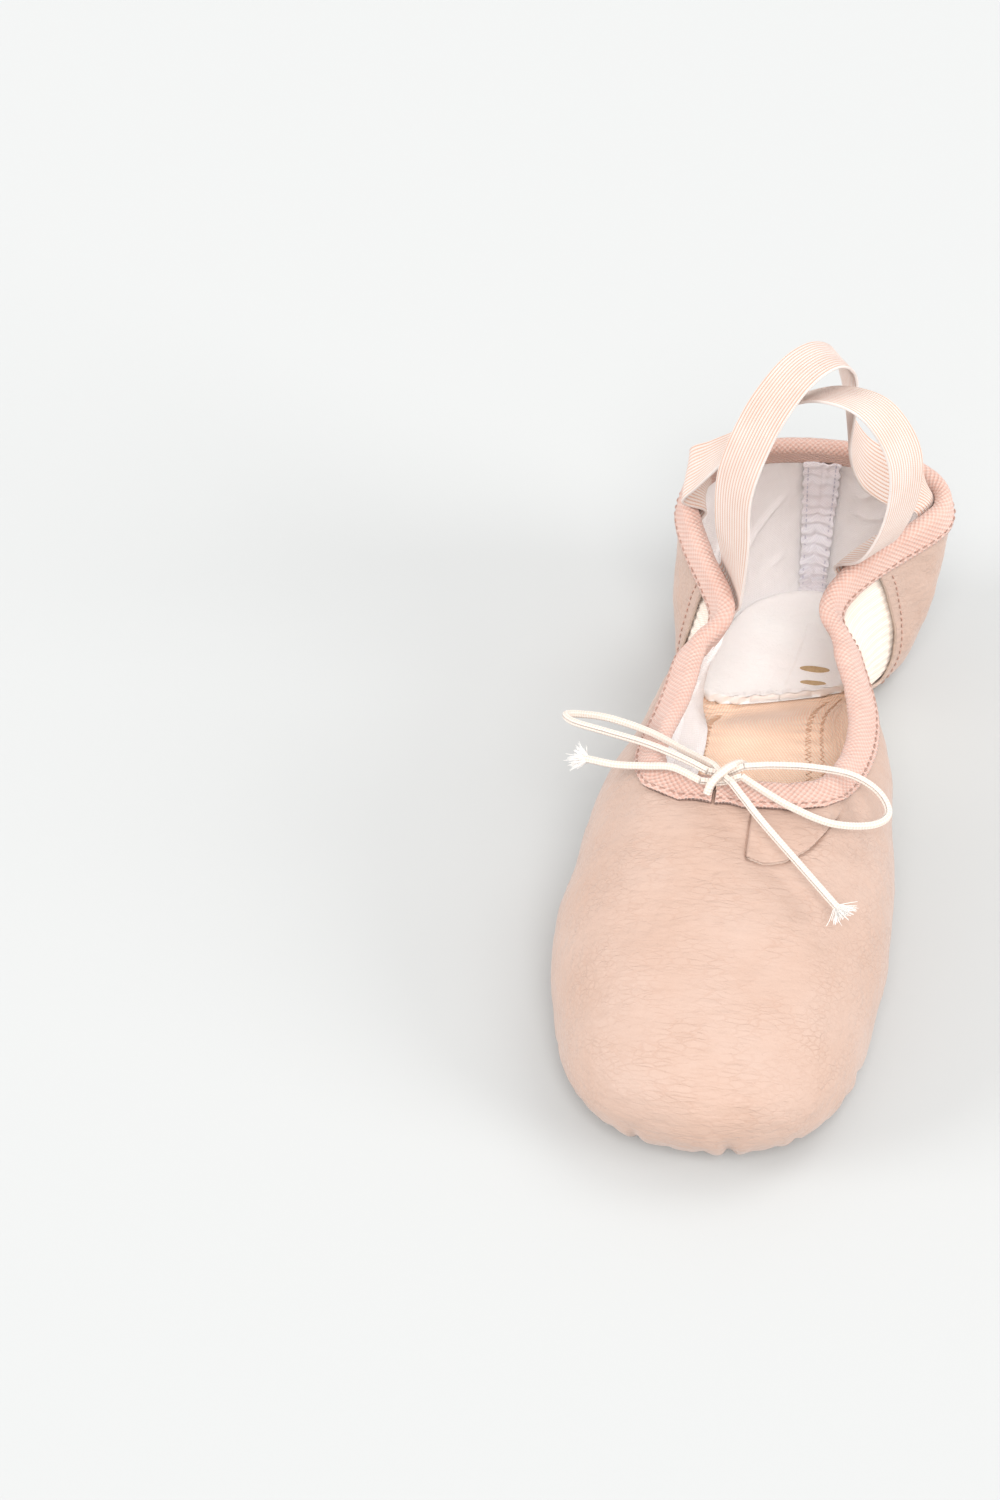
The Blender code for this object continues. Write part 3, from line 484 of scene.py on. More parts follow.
class Look:
    """A procedural material being put together."""

    def __init__(self, name, roughness, sheen=0.0, specular=0.4):
        self.material = bpy.data.materials.new(name)
        self.material.use_nodes = True
        self.tree = self.material.node_tree
        self.shader = self.tree.nodes["Principled BSDF"]
        for key, value in (("Roughness", roughness), ("Sheen Weight", sheen), ("Sheen Roughness", 0.45),
                           ("Specular IOR Level", specular)):
            self.shader.inputs[key].default_value = value
        self.bump = None

    def node(self, kind, inputs=(), **settings):
        made = self.tree.nodes.new("ShaderNode" + kind)
        for key, value in settings.items():
            setattr(made, key, value)
        for key, value in dict(inputs).items():
            if isinstance(value, bpy.types.NodeSocket):
                self.tree.links.new(value, made.inputs[key])
            else:
                made.inputs[key].default_value = value
        return made

    def sum(self, operation, *terms):
        return self.node("Math", enumerate(terms), operation=operation).outputs[0]

    def times(self, first, second):
        return self.sum("MULTIPLY", first, second)

    def share(self, wave):
        """Brings a wave between -1 and 1 to between 0 and 1."""
        return self.sum("MULTIPLY_ADD", wave, 0.5, 0.5)

    def place(self, scale=(1, 1, 1), flat=False):
        where = self.node("TexCoord").outputs["UV" if flat else "Object"]
        return self.node("Mapping", {"Vector": where, "Scale": scale}).outputs[0]

    def flat_place(self):
        """The two texture coordinates."""
        return self.node("SeparateXYZ", {0: self.place(flat=True)}).outputs[:2]

    def noise(self, size, detail, stretch=(1, 1, 1)):
        """Noise of a feature size in millimetres."""
        at = self.place([1000.0 / size / s for s in stretch])
        return self.node("TexNoise", {"Vector": at, "Scale": 1.0, "Detail": detail, "Roughness": 0.55}
                         ).outputs["Fac"]

    def cells(self, size):
        return self.node("TexVoronoi", {"Vector": self.place([1000 / size] * 3), "Scale": 1.0}
                         ).outputs["Distance"]

    def cracks(self, size, stretch, wander):
        """Distance, in cells, to the nearest line of a wandering network."""
        at = self.place([1000 / size / s for s in stretch])
        stray = self.node("TexNoise", {"Vector": at, "Scale": 0.7, "Detail": 2.0}).outputs["Color"]
        push = self.node("VectorMath", {0: stray, 1: (wander,) * 3}, operation="MULTIPLY").outputs[0]
        moved = self.node("VectorMath", {0: at, 1: push}, operation="ADD").outputs[0]
        return self.node("TexVoronoi", {"Vector": moved, "Scale": 1.0}, feature="DISTANCE_TO_EDGE"
                         ).outputs["Distance"]

    def weave(self, pitch):
        """Over and under of a plain weave, between -1 and 1, with its thread pitch in millimetres."""
        u, v = [self.sum("SINE", self.times(x, math.pi / pitch)) for x in self.flat_place()]
        return self.times(u, v)

    def waves(self, *per):
        """Sine of the texture coordinates times the given turns per unit."""
        turns = [self.times(x, 2 * math.pi * p) for x, p in zip(self.flat_place(), per)]
        return self.sum("SINE", self.sum("ADD", *turns))

    def colour(self, factor, *stops):
        """Colour of the surface from stops of (place, colour)."""
        ramp = self.node("ValToRGB", {"Fac": factor})
        elements = ramp.color_ramp.elements
        while len(elements) < len(stops):
            elements.new(0.5)
        for element, (where, shade) in zip(elements, sorted(stops)):
            element.position = where
            element.color = rgba(shade)
        return ramp.outputs[0]

    def mix(self, factor, first, second, blend="MIX"):
        mixer = self.node("Mix", {0: factor, 6: first, 7: second}, data_type="RGBA", blend_type=blend)
        return mixer.outputs[2]

    def paint(self, socket):
        self.tree.links.new(socket, self.shader.inputs["Base Color"])

    def paint_worn(self, base, size, detail, shade):
        """Paints a colour that is darker in soft patches."""
        patch = self.colour(self.noise(size, detail), (0.3, shade), (0.65, WHITE))
        self.paint(self.mix(0.8, base, patch, "MULTIPLY"))

    def relief(self, height, depth):
        """Adds bumps of a depth in millimetres."""
        inputs = {"Height": height, "Distance": depth * MM, "Strength": 1.0}
        if self.bump is not None:
            inputs["Normal"] = self.bump
        self.bump = self.node("Bump", inputs).outputs[0]
        self.tree.links.new(self.bump, self.shader.inputs["Normal"])

    def map_range(self, value, **ends):
        inputs = {key.replace("_", " "): end for key, end in ends.items()}
        return self.node("MapRange", {"Value": value, **inputs}).outputs[0]

    def gloss(self, factor, low, high):
        rough = self.map_range(factor, To_Min=low, To_Max=high)
        self.tree.links.new(rough, self.shader.inputs["Roughness"])


def leather_look(name, shades, crease_shade):
    """Soft kid leather: a network of fine wrinkles that run across the foot, their crease lines darkened
    with painted shade.
    """
    look = Look(name, 0.5, sheen=0.22, specular=0.3)
    patch = look.noise(22, 3)
    base = look.colour(patch, (0.30, shades[0]), (0.70, shades[1]))
    where = look.map_range(look.noise(10, 2), From_Min=0.28, From_Max=0.66)
    flat = look.map_range(look.cracks(1.5, (3.4, 1, 1), 1.0), From_Max=0.14)
    # painted shade: the crease lines are mixed towards a darker crease colour where the wrinkles show
    crease_shade_weight = look.times(look.sum("SUBTRACT", 1.0, flat), look.times(where, 0.24))
    look.paint(look.mix(crease_shade_weight, base, rgba(crease_shade)))
    look.relief(look.times(flat, where), 0.08)
    look.relief(look.noise(1.7, 2.5, (4.0, 1.3, 1)), 0.45)
    look.relief(look.noise(6, 2, (2.0, 1, 1)), 0.5)
    look.relief(look.cells(0.62), 0.04)
    look.gloss(patch, 0.44, 0.58)
    return look.material


def canvas_look(name, shades, pitch, depth):
    look = Look(name, 0.85, sheen=0.25, specular=0.2)
    weave = look.weave(pitch)
    look.paint_worn(look.colour(look.share(weave), (0.2, shades[0]), (0.8, shades[1])), 9, 3,
                    (247, 240, 238))
    look.relief(weave, depth)
    look.relief(look.noise(0.5, 3), 0.04)
    return look.material


def cotton_look():
    look = Look("white_cotton_cloth", 0.9, sheen=0.2, specular=0.2)
    weave = look.weave(0.42)
    shade = look.colour(look.noise(14, 4), (0.3, (251, 248, 247)), (0.6, (255, 253, 252)))
    threads = look.colour(look.share(weave), (0.1, (250, 247, 247)), (0.8, WHITE))
    look.paint(look.mix(1.0, shade, threads, "MULTIPLY"))
    look.relief(weave, 0.06)
    look.relief(look.noise(3.5, 4), 0.5)
    return look.material


def grained_look(name, finish, grain, low, high, *bumps):
    """A mottled colour with bumps of (size, detail, depth), or of cells where detail is 0."""
    look = Look(name, *finish)
    look.paint(look.colour(look.noise(*grain), low, high))
    for size, detail, depth in bumps:
        look.relief(look.noise(size, detail) if detail else look.cells(size), depth)
    return look


def suede_look(name, low, high):
    return grained_look(name, (0.95, 0.35, 0.15), (5, 5), (0.3, low), (0.7, high), (0.5, 5, 0.25),
                        (3, 4, 0.3)).material


def mesh_look(name, shades):
    """Stretch fabric: fine lengthwise ribs crossed by finer stitches."""
    look = Look(name, 0.8, sheen=0.3, specular=0.2)
    ribs, loops = look.waves(0, 1 / 0.9), look.waves(1 / 0.55, 0)
    both = look.sum("ADD", look.times(ribs, 0.35), look.times(loops, 0.15))
    look.paint_worn(look.colour(look.sum("ADD", both, 0.5), (0.1, shades[0]), (0.9, shades[1])), 16, 3,
                    (246, 240, 236))
    look.relief(both, 0.12)
    return look.material


def elastic_look():
    look = Look("ribbed_elastic", 0.75, sheen=0.3, specular=0.25)
    rib = look.sum("COSINE", look.times(look.flat_place()[0], 2 * math.pi * RIBS / ELASTIC_WIDTH))
    # painted shade: the colour darkens into the grooves between the rubber cords, in step with the modelled
    # ribs
    look.paint_worn(look.colour(look.share(rib), (0.0, (207, 162, 138)), (0.35, (220, 203, 192)),
                                (1.0, (224, 214, 208))), 12, 2, (248, 240, 236))
    look.relief(look.waves(0, 1 / 0.62), 0.07)
    look.relief(look.noise(0.5, 3), 0.04)
    return look.material


def braid_look():
    look = Look("braided_cord", 0.7, sheen=0.3, specular=0.25)
    braid = look.times(look.waves(3, 1 / BRAID_PITCH), look.waves(3, -1 / BRAID_PITCH))
    look.paint(look.colour(look.share(braid), (0.0, (214, 194, 179)), (0.7, (222, 211, 201))))
    look.relief(braid, 0.10)
    look.relief(look.noise(0.3, 3), 0.03)
    return look.material


def thread_look(name, shades):
    look = Look(name, 0.65, sheen=0.2, specular=0.3)
    twist = look.waves(2, 1 / 0.5)
    look.paint(look.colour(look.share(twist), (0.1, shades[0]), (0.8, shades[1])))
    look.relief(twist, 0.05)
    return look.material


# the last colour given to each leather is the painted shade in its crease lines
PINK = leather_look("pink_kid_leather", ((182, 153, 137), (186, 160, 146)), (166, 128, 109))
PINK_BACK = leather_look("leather_flesh_side", ((193, 170, 155), (198, 177, 164)), (184, 160, 145))
COTTON = cotton_look()
SOCK = grained_look("white_sock_leather", (0.62, 0.0, 0.3), (18, 3), (0.3, (253, 249, 247)),
                    (0.65, (255, 254, 252)), (1.8, 5, 0.22), (0.6, 0, 0.05)).material
MESH_IN = mesh_look("peach_stretch_inner", ((255, 212, 184), (255, 234, 212)))
MESH_OUT = mesh_look("pale_stretch_outer", ((236, 217, 199), (238, 231, 223)))
CANVAS = canvas_look("pink_canvas_tape", ((207, 166, 151), (214, 186, 174)), 0.85, 0.16)
TAPE_CLOTH = canvas_look("white_tape_cloth", ((244, 240, 247), (254, 253, 255)), 0.5, 0.08)
ELASTIC_CLOTH = elastic_look()
SUEDE = suede_look("tan_sole_suede", (175, 145, 110), (191, 166, 132))
SUEDE_EDGE = suede_look("worn_sole_edge", (103, 78, 59), (149, 118, 91))
CORD_BRAID = braid_look()
PINK_THREAD = thread_look("pink_sewing_thread", ((183, 137, 120), (197, 162, 147)))
WHITE_THREAD = thread_look("white_sewing_thread", ((201, 195, 211), (229, 226, 233)))
FOIL_LOOK = grained_look("worn_gold_foil", (0.35, 0.0, 0.5), (1.2, 4), (0.35, (197, 164, 120)),
                         (0.6, (212, 183, 139)), (0.6, 3, 0.04))
FOIL_LOOK.shader.inputs["Metallic"].default_value = 0.35
FOIL = FOIL_LOOK.material
FLUFF = grained_look("loose_cotton_fibre", (0.9, 0.3, 0.1), (1.0, 2), (0.3, (232, 226, 220)),
                     (0.7, (237, 235, 232))).material
MESH_THREAD = thread_look("peach_stretch_thread", ((240, 190, 154), (250, 208, 174)))


def aim(obj, way):
    obj.rotation_mode = "QUATERNION"
    obj.rotation_quaternion = way.to_track_quat("-Z", "Y")


def studio():
    """The photograph's camera, soft light from four sides and a pale floor."""
    scene = bpy.context.scene
    level = math.cos(CAMERA_ELEVATION)
    back = Vector((math.sin(CAMERA_AZIMUTH) * level, -math.cos(CAMERA_AZIMUTH) * level,
                   math.sin(CAMERA_ELEVATION)))
    lens = bpy.data.cameras.new("camera")
    lens.lens, lens.sensor_width = LENS, SENSOR
    scene.camera = add("camera", lens)
    scene.camera.location = CAMERA_TARGET + back * CAMERA_DISTANCE
    aim(scene.camera, -back)
    for name, side, toward_toe, up, strength in LAMPS:
        light = bpy.data.lights.new(name, "SUN")
        light.energy, light.angle = strength, LAMP_SPREAD
        aim(add(name, light), Vector((-side, toward_toe, -up)))
    scene.world = bpy.data.worlds.new("soft_white")
    scene.world.use_nodes = True
    sky = scene.world.node_tree.nodes["Background"].inputs
    sky[0].default_value, sky[1].default_value = WORLD_COLOUR, WORLD_STRENGTH
    scene.view_settings.view_transform = "Standard"
    look = Look("pale_floor", 0.7, specular=0.2)
    look.shader.inputs["Base Color"].default_value = rgba(FLOOR_COLOUR)
    mesh = bpy.data.meshes.new("floor")
    mesh.from_pydata([(x * FLOOR_HALF, y * FLOOR_HALF, 0) for x, y in ((-1, -1), (1, -1), (1, 1), (-1, 1))],
                     [], [(0, 1, 2, 3)])
    mesh.materials.append(look.material)
    floor = add("floor", mesh)
    floor.location.z = -FLOOR_DROP


def standing_for(obj, nodes):
    if nodes:
        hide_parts(*nodes)
    return obj


def worn_by(obj, body, slot, *nodes):
    """Puts a finished piece on its body in place of its CAD nodes."""
    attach(obj, body)
    return standing_for(obj, nodes)


def folding(obj, slot, *nodes):
    """A piece of the upper, its placement baked into its mesh, standing in for its CAD nodes."""
    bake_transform(obj)
    return standing_for(obj, nodes)


def stitched(name, lines, thread, slot, *nodes):
    """Stitches on the upper, made as one piece of tubes that stands in for its CAD nodes."""
    folding(bundle(name, lines, 6, thread), slot, *nodes)


# ---- the bow ----
def frayed_end(name, body, tip, way, seed):
    """A white tuft of loose fibres at the end of a cord."""
    rng = np.random.default_rng(seed)
    way = way / np.linalg.norm(way)
    t = np.linspace(0, 1, 6)[:, None]
    lines = []
    for _ in range(170):
        spread = rng.normal(0, 0.62, 3)
        spread -= way * np.dot(spread, way)
        length = rng.uniform(1.6, 3.8)
        curl = rng.normal(0, 0.5, 3)
        start = tip - way * rng.uniform(0.6, 1.6) + spread * 0.45
        line = start + (way + spread * 0.9) * length * t + curl * t ** 2
        line[:, 2] = np.maximum(line[:, 2], tip[2] - 1.6)
        lines.append((line, 0.13 * (1 - 0.5 * t[:, 0])))
    return worn_by(bundle(name, lines, 4, FLUFF), body, "cream_cord")


def braided(turn, run):
    """Raised strands of a braided cord."""
    twist = 2 * np.pi * run / BRAID_PITCH
    return 0.045 * np.sin(3 * turn + twist) * np.sin(3 * turn - twist)


def bow():
    shift = ORIGIN + BOW_LIFT
    for part, side, route in (("loop", "left", LOOP_LEFT), ("loop", "right", LOOP_RIGHT),
                              ("tail", "left", TAIL_LEFT), ("tail", "right", TAIL_RIGHT)):
        node, body = f"bow_{part}_{side}", "bow_" + side
        line = np.array(route) + shift
        length = float(run_along(along(line, 200))[-1])
        line = along(line, round(length / 0.4))
        obj = bundle("cord_" + node, [(line, CORD_RADIUS)], 24, CORD_BRAID, braided)
        worn_by(obj, body, "cream_cord", node)
        ends = []
        if part == "tail":
            ends = [frayed_end("frayed_end_" + side, body, line[-1], line[-1] - line[-4], 7 + len(node))]
    lines = [(along(np.array(BOW_KNOT) + shift, 60), CORD_RADIUS * 1.08)]
    for first, last, dip in ((LOOP_LEFT[-1], LOOP_RIGHT[0], 59.6), (LOOP_LEFT[0], TAIL_RIGHT[0], 60.4),
                             (TAIL_LEFT[0], LOOP_RIGHT[-1], 59.0)):
        middle = (np.array(first) + last) / 2
        middle[2] = dip
        lines.append((along(np.array([first, middle, last]) + shift, 24), CORD_RADIUS * 0.97))
    worn_by(bundle("knot_of_cord", lines, 24, CORD_BRAID, braided), "forefoot", "cream_cord", "bow_knot")


# ---- the vamp ----
def row_shares(rows):
    """Rows up the vamp, closer together by the gathers and below the binding."""
    fine = np.linspace(0, 1, 2001)
    density = 1 + 3.0 * bell(fine - 0.945, 0.03) + 0.9 * bell(fine, 0.3)
    total = np.concatenate([[0], np.cumsum((density[1:] + density[:-1]) / 2)])
    return np.interp(np.linspace(0, total[-1], rows), total, fine)


def vamp_grid(columns, rows, set_back_a, set_back_b, left_end=None):
    """Columns from the topline down to the sole edge, or to the front seam on the wings."""
    last = WING_END - set_back_a
    at = np.linspace(-(left_end or last), last, columns)
    place = np.abs(at) + set_back_a
    low = line_at(place, FRONT_SEAM) + set_back_b
    if left_end:
        low = np.where(at < 0, line_at(-at, LINING_LOW), low)
    low = np.minimum(np.where(place < FRONT_SEAM[0][0], MARGIN_B, low), 0.80)[:, None]
    return np.repeat(at[:, None], rows, axis=1), low + (1 - low) * row_shares(rows)


def pleat_span(a):
    return rising(a, 0.036, 0.006) * falling(a, 0.25, 0.03)


def vamp_relief(a, b):
    """Height of the folds, gathers and pleat above the smooth form."""
    p = surface(a, b)
    x, z = p[..., 0], p[..., 2]
    run = 0.9 * p[..., 1] + 0.43 * z
    top = rising(b, 0.30, 0.2)
    height = rumple(x / 22, run / 22, 3, 2) * 0.70 * top
    height += rumple((x + 0.25 * run) / 8, run / 1.9, 11, 2) * 0.06 * top
    height += 0.16 * creases(x / 13, run / 3.2, 21, 0.11) * top * (0.4 + 0.6 * rising(b, 0.45, 0.3))
    height += rumple(x / 5, z / 5 + run / 9, 31, 3) * 0.10
    for at, depth, reach in GATHERS:
        lean = (b - 0.2) * 0.06 * math.sin(at * 91)
        width = 0.0048 * (1 + rising(b, 0.24, 0.3))
        fade = falling(b, reach - 0.12, 0.16) * (0.55 + 0.45 * smooth_step((0.36 - b) / 0.1))
        gap = (a - at - lean) / width
        height -= 0.85 * depth * bell(gap, 1) * fade
        height += 0.30 * depth * bell(np.abs(gap) - 2.4, 1.5) * fade
    edge, left = line_at(a, PLEAT), PLEAT[0][0]
    flap = rising(b, edge, 0.0025) * rising(a, left, 0.004) * falling(a, PLEAT[-1][0] - 0.02, 0.03)
    height += flap * falling(b, edge + 0.012, 0.035)
    height -= 0.8 * bell(b - edge + 0.0032, 0.0040) * pleat_span(a)
    height -= 0.8 * bell(a - left + 0.0012, 0.0016) * rising(b, edge - 0.004, 0.006)
    return height * smooth_step((1 - b) / 0.02)


def lining_relief(a, b):
    """How far the lining stands off inwards in loose folds."""
    run, rise = a * 240, b * 60
    height = rumple(run / 10, rise / 26, 41, 3) * 0.5 + 0.35
    height += 1.5 * np.maximum(0, noise(run / 9 + rise / 18, rise / 30, 47)) ** 1.5
    fold = np.maximum(0, np.sin(run / 3.1 + rise / 8 + 2.6 * noise(run / 13, rise / 22, 57))) ** 3
    height += 1.5 * fold * smooth_step(noise(run / 16, rise / 30, 59) + 0.5)
    height += 0.08 * rumple(run / 2.6, rise / 3.0, 53, 3)
    # behind the arch panel on the -X side, where no leather covers it, it stands further in
    uncovered = smooth_step((line_at(-a, FRONT_SEAM) + 0.06 - b) / 0.04)
    uncovered = np.where(-a > FRONT_SEAM[-1][0] - 0.02, 1.0, uncovered)
    behind = 1.15 * uncovered * rising(-a, 0.30, 0.03) * falling(-a, 0.72, 0.02)
    return np.maximum(height, 0.02) * smooth_step((1 - b) / 0.08) * rising(b, 0.14, 0.1) + behind


def slack(obj):
    """The lining on the arch side hangs loose: its foot lies further in than the wall's."""
    points = np.array([v.co for v in obj.data.vertices]) / MM
    x, y, z = points.T
    loose = rising(y, -SLACK_FROM[0], SLACK_FROM[1]) * falling(y, *SLACK_TO)
    lean = SLACK * np.clip(1 - (np.maximum(z, 14) - 5) / 40, 0, 1) * loose * smooth_step((-x - 8) / 6)
    x += lean * (1 + 0.10 * noise(y / 9 + z / 30, z / 40, 141)) + 0.03 * lean * noise(y / 4, z / 18, 143)
    obj.data.vertices.foreach_set("co", (points * MM).ravel())
    obj.data.update()
    return obj


def vamp():
    a, b = vamp_grid(680, 260, 0.0, 0.0)
    edge = line_at(a, PLEAT)
    lip = rising(b, edge - 0.001, 0.003) * falling(b, edge + 0.004, 0.014) * pleat_span(a)
    obj = skin("leather_vamp", a, b - PLEAT_LIP * lip, 0.0, LEATHER, vamp_relief(a, b), [PINK, PINK_BACK])
    folding(obj, "pink_leather", "vamp_leather")
    a, b = vamp_grid(420, 120, *LINING_SET_BACK, LINING_LOW[-1][0])
    obj = skin("cotton_vamp_lining", a, b, LINING_DEPTH, LINING, -lining_relief(a, b), [COTTON])
    folding(slack(obj), "white_cotton", "vamp_lining")


# ---- the heel ----
def heel_grid(side, columns, rows, set_back):
    share, b = grid(np.linspace(0, 1, columns), np.linspace(MARGIN_B, 1, rows))
    start = seam_a(REAR_SEAM, b) + set_back
    a = start + (1 - BACK_JOIN - start) * share
    return (a, b) if side > 0 else (-a[::-1], b[::-1])


def heel_relief(a, b):
    a = np.abs(a)
    run, rise = a * 240, b * 62
    height = rumple(run / 15, rise / 15, 61, 2) * 0.55
    height += 0.35 * rumple(run / 4.5 + rise / 11, rise / 26 - run / 40, 71, 2) * rising(b, 0.3, 0.3)
    height += rumple(run / 5, rise / 2.4, 81, 2) * 0.08
    height += 0.35 * bell(1 - a, 0.012) - 0.45 * bell(1 - a, 0.0025)
    return height * smooth_step((1 - b) / 0.03) * rising(b, 0.12, 0.05)


def rucks(a, b, side):
    """Narrow ridges of creased cloth in the heel lining, away from the tape."""
    line = noise(a * 24 + b * 5 * side, b * 3 - a * 6, 91)
    height = 1.5 * np.clip(1 - np.abs(line) / 0.22, 0, 1) ** 1.5 * rising(b, 0.3, 0.2)
    return height * smooth_step((0.93 - b) / 0.1) * smooth_step((0.965 - a) / 0.02)


def heel():
    for side, word in ((1, "right"), (-1, "left")):
        a, b = heel_grid(side, 240, 170, 0.0)
        obj = skin("leather_heel_" + word, a, b, 0.0, LEATHER, heel_relief(a, b), [PINK, PINK_BACK])
        folding(obj, "pink_leather", "heel_quarter_" + word)
        a, b = heel_grid(side, 200, 130, 0.022)
        inwards = lining_relief(a, b) + rucks(np.abs(a), b, side)
        obj = skin("cotton_heel_lining_" + word, a, b, LINING_DEPTH, LINING, -inwards, [COTTON])
        folding(slack(obj), "white_cotton", "heel_lining_" + word)
    back_tape()
    label()


def back_tape():
    """The gathered tape over the inner back seam, sewn down both edges."""
    rise = np.linspace(0.17, 0.955, 240)
    across, b = grid(np.linspace(-1, 1, 48), rise)
    a = 1 + across * (TAPE_WIDTH / 2 / 225 + 0.0014 * np.sin(b * 108))
    pucker = 0.35 + 0.65 * smooth_step((0.75 - b) / 0.25)
    ruche = (0.65 * np.sin(b * 108 + 1.6 * noise(a * 90, b * 16, 91)) + 0.5) * pucker
    ruche += 0.3 * rumple(a * 120, b * 22, 93, 2)
    obj = skin("ruched_back_tape", a, b, TAPE_DEPTH + GAP, TAPE, -(lining_relief(wrapped(a), b) + ruche),
               [TAPE_CLOTH])
    folding(obj, "white_cotton", "back_seam_tape")
    line = rise[4:-4]
    for offset, word in ((-0.017, "left"), (0.017, "right")):
        a = 1 + offset + 0 * line
        normal = normals(a, line)
        depth = TAPE_DEPTH + TAPE + 0.75 + lining_relief(wrapped(a), line)
        lines = stitch_lines(surface(a, line) - normal * depth[:, None], -normal, 1.0, 1.1, 0.20)
        stitched("back_tape_stitches_" + word, lines, WHITE_THREAD, "white_cotton")


def label():
    a, b = grid(np.linspace(-0.905, -0.86, 40), np.linspace(0.76, 0.90, 30))
    curl = 0.35 + 0.8 * ((b - 0.90) / 0.14) ** 2 + 0.2 * rumple(a * 60, b * 20, 95, 2)
    obj = skin("blank_label", a, b, TAPE_DEPTH, 0.25, -(lining_relief(a, b) + curl), [TAPE_CLOTH])
    folding(obj, "white_cotton", "care_label")


# ---- soles and insoles ----
def ring(body, end, edge_b, columns):
    """The a of the columns of a piece under the foot, and the b of its edge, rounded at its end."""
    turn = np.sin(np.linspace(-1, 1, columns) * np.pi / 2)
    if body == "heel":
        a, rounding = 1 + (1 - end) * turn, HEEL_ROUNDING
    else:
        a, rounding = end * turn, FORE_ROUNDING
    near = np.clip(1 - np.abs(unsigned(a) - end) / rounding, 0, 0.97)
    return a, edge_b * np.sqrt(1 - near ** 2)


def unsigned(a):
    """The same distance from the heel centre on the +X side."""
    return np.where(a > 1, 2 - a, np.abs(a))


def foot_grid(a, edge_b, rows):
    """Points under the foot, how near to the edge they are, and their a and b."""
    a, share = grid(a, np.linspace(0, 1, rows))
    b = edge_b[:, None] * share
    return surface(a, b), share, a, b


def slab(name, points, low, high, materials):
    """A pad or sole under the foot, between two heights."""
    up = np.array((0.0, 0.0, 1.0))
    return shell(name, points + up * high[..., None], points + up * np.asarray(low)[..., None],
                 points[..., :2], materials)


def pillow(points, share, depth, thickness, roll, wave):
    """Height of a padded face: full in the middle and rolled down round its edge."""
    full = np.sqrt(np.clip(1 - np.clip((share - 1 + roll) / roll, 0, 1) ** 2, 0, 1))
    puff = wave * rumple(points[..., 0] / 9, points[..., 1] / 9, 101, 3)
    return depth + thickness * (0.25 + 0.75 * full) + puff * full


def soles():
    for body, end, columns, seed in (("forefoot", FORE_OUTSOLE_END, 361, 111),
                                     ("heel", HEEL_OUTSOLE_START, 261, 113)):
        a, edge = ring(body, end, OUTSOLE_B, columns)
        points, share, a, b = foot_grid(a, edge * (1 + 0.006 * rumple(a * 60, a * 0, seed, 3)), 46)
        # the sole's edge drops back from the upper, which rises there
        curl = np.clip(points[..., 2] - surface(a, b * 0)[..., 2], 0, OUTSOLE_EDGE_CURL)
        obj = slab(f"suede_{body}_sole", points, -(GAP + OUTSOLE) - curl,
                   -GAP - curl - 0.15 * (share > 0.985), [SUEDE_EDGE, SUEDE, SUEDE_EDGE])
        worn_by(obj, body, "tan_suede", body + "_outsole")
    for body, end, columns in (("forefoot", FORE_PAD_END, 121), ("heel", HEEL_PAD_START, 101)):
        points, share, a, b = foot_grid(*ring(body, end, PAD_B, columns), 20)
        obj = slab(f"felt_{body}_pad", points, 0.05, pillow(points, share, 0.0, PAD - 0.1, 0.3, 0.05),
                   [COTTON])
        worn_by(obj, body, "white_cotton", body + "_pad")
    points, share, a, b = foot_grid(*ring("forefoot", FORE_INSOLE_END, INSOLE_B, 361), 60)
    obj = slab("soft_forefoot_insole", points, INSOLE_DEPTH,
               pillow(points, share, INSOLE_DEPTH, INSOLE, 0.12, 0.12), [COTTON])
    worn_by(obj, "forefoot", "white_cotton", "forefoot_insole")
    heel_sock()


def heel_sock():
    """The padded sock, puckered along its front edge, with two plain foil ovals."""
    a, edge = ring("heel", HEEL_SOCK_START, INSOLE_B, 261)
    pucker = np.sin((edge / INSOLE_B) * 30 * np.sign(1 - a)) * 0.004
    a = a + pucker * np.exp(-(unsigned(a) - HEEL_SOCK_START) / 0.02)
    points, share, a, b = foot_grid(a, edge, 70)
    front = np.exp(-np.maximum(unsigned(a) - HEEL_SOCK_START, 0) / 0.012)
    top = pillow(points, share, INSOLE_DEPTH, HEEL_SOCK, 0.22, 0.20)
    top += 0.35 * np.sin(points[..., 0] * 1.35) * front
    obj = slab("padded_heel_sock", points, INSOLE_DEPTH, top, [SOCK])
    worn_by(obj, "heel", "white_cotton", "heel_sock")
    foil_marks(obj)


def foil_marks(sock):
    tree = BVHTree.FromObject(sock, bpy.context.evaluated_depsgraph_get())
    turn, radial = grid(np.linspace(0, 2 * np.pi, 73), np.linspace(0.02, 1, 10))
    for number, (x, y, half_x, half_y) in enumerate(FOIL_OVALS, 1):
        flat = np.stack([x + half_x * radial * np.cos(turn), y + half_y * radial * np.sin(turn)], -1)
        flat = flat + ORIGIN[:2]
        heights = [tree.ray_cast(Vector((*spot, 40)) * MM, Vector((0, 0, -1)))[0].z / MM + 0.05
                   for spot in flat.reshape(-1, 2)]
        top = np.concatenate([flat, np.reshape(heights, turn.shape)[..., None]], axis=-1)
        worn_by(shell(f"foil_oval_{number}", top, top - (0, 0, 0.04), flat, [FOIL]), "heel", "white_cotton")


# ---- the stretch panel under the arch ----
def arch_relief(a, b):
    wave = 0.16 * np.sin(b * 60 * 2 * np.pi / 3.1 + 0.7 * rumple(a * 50, b * 8, 121, 2))
    pucker = 0.35 * bell(b - 0.10, 0.05) * np.sin(a * 250 * 2 * np.pi / 3.4 + 5 * b)
    height = (wave * smooth_step(b / 0.06) + pucker * smooth_step(b / 0.03)) * smooth_step((1 - b) / 0.05)
    return height + 0.3 * rumple(np.abs(a) * 40, b * 6, 125, 2) * smooth_step(b / 0.1)


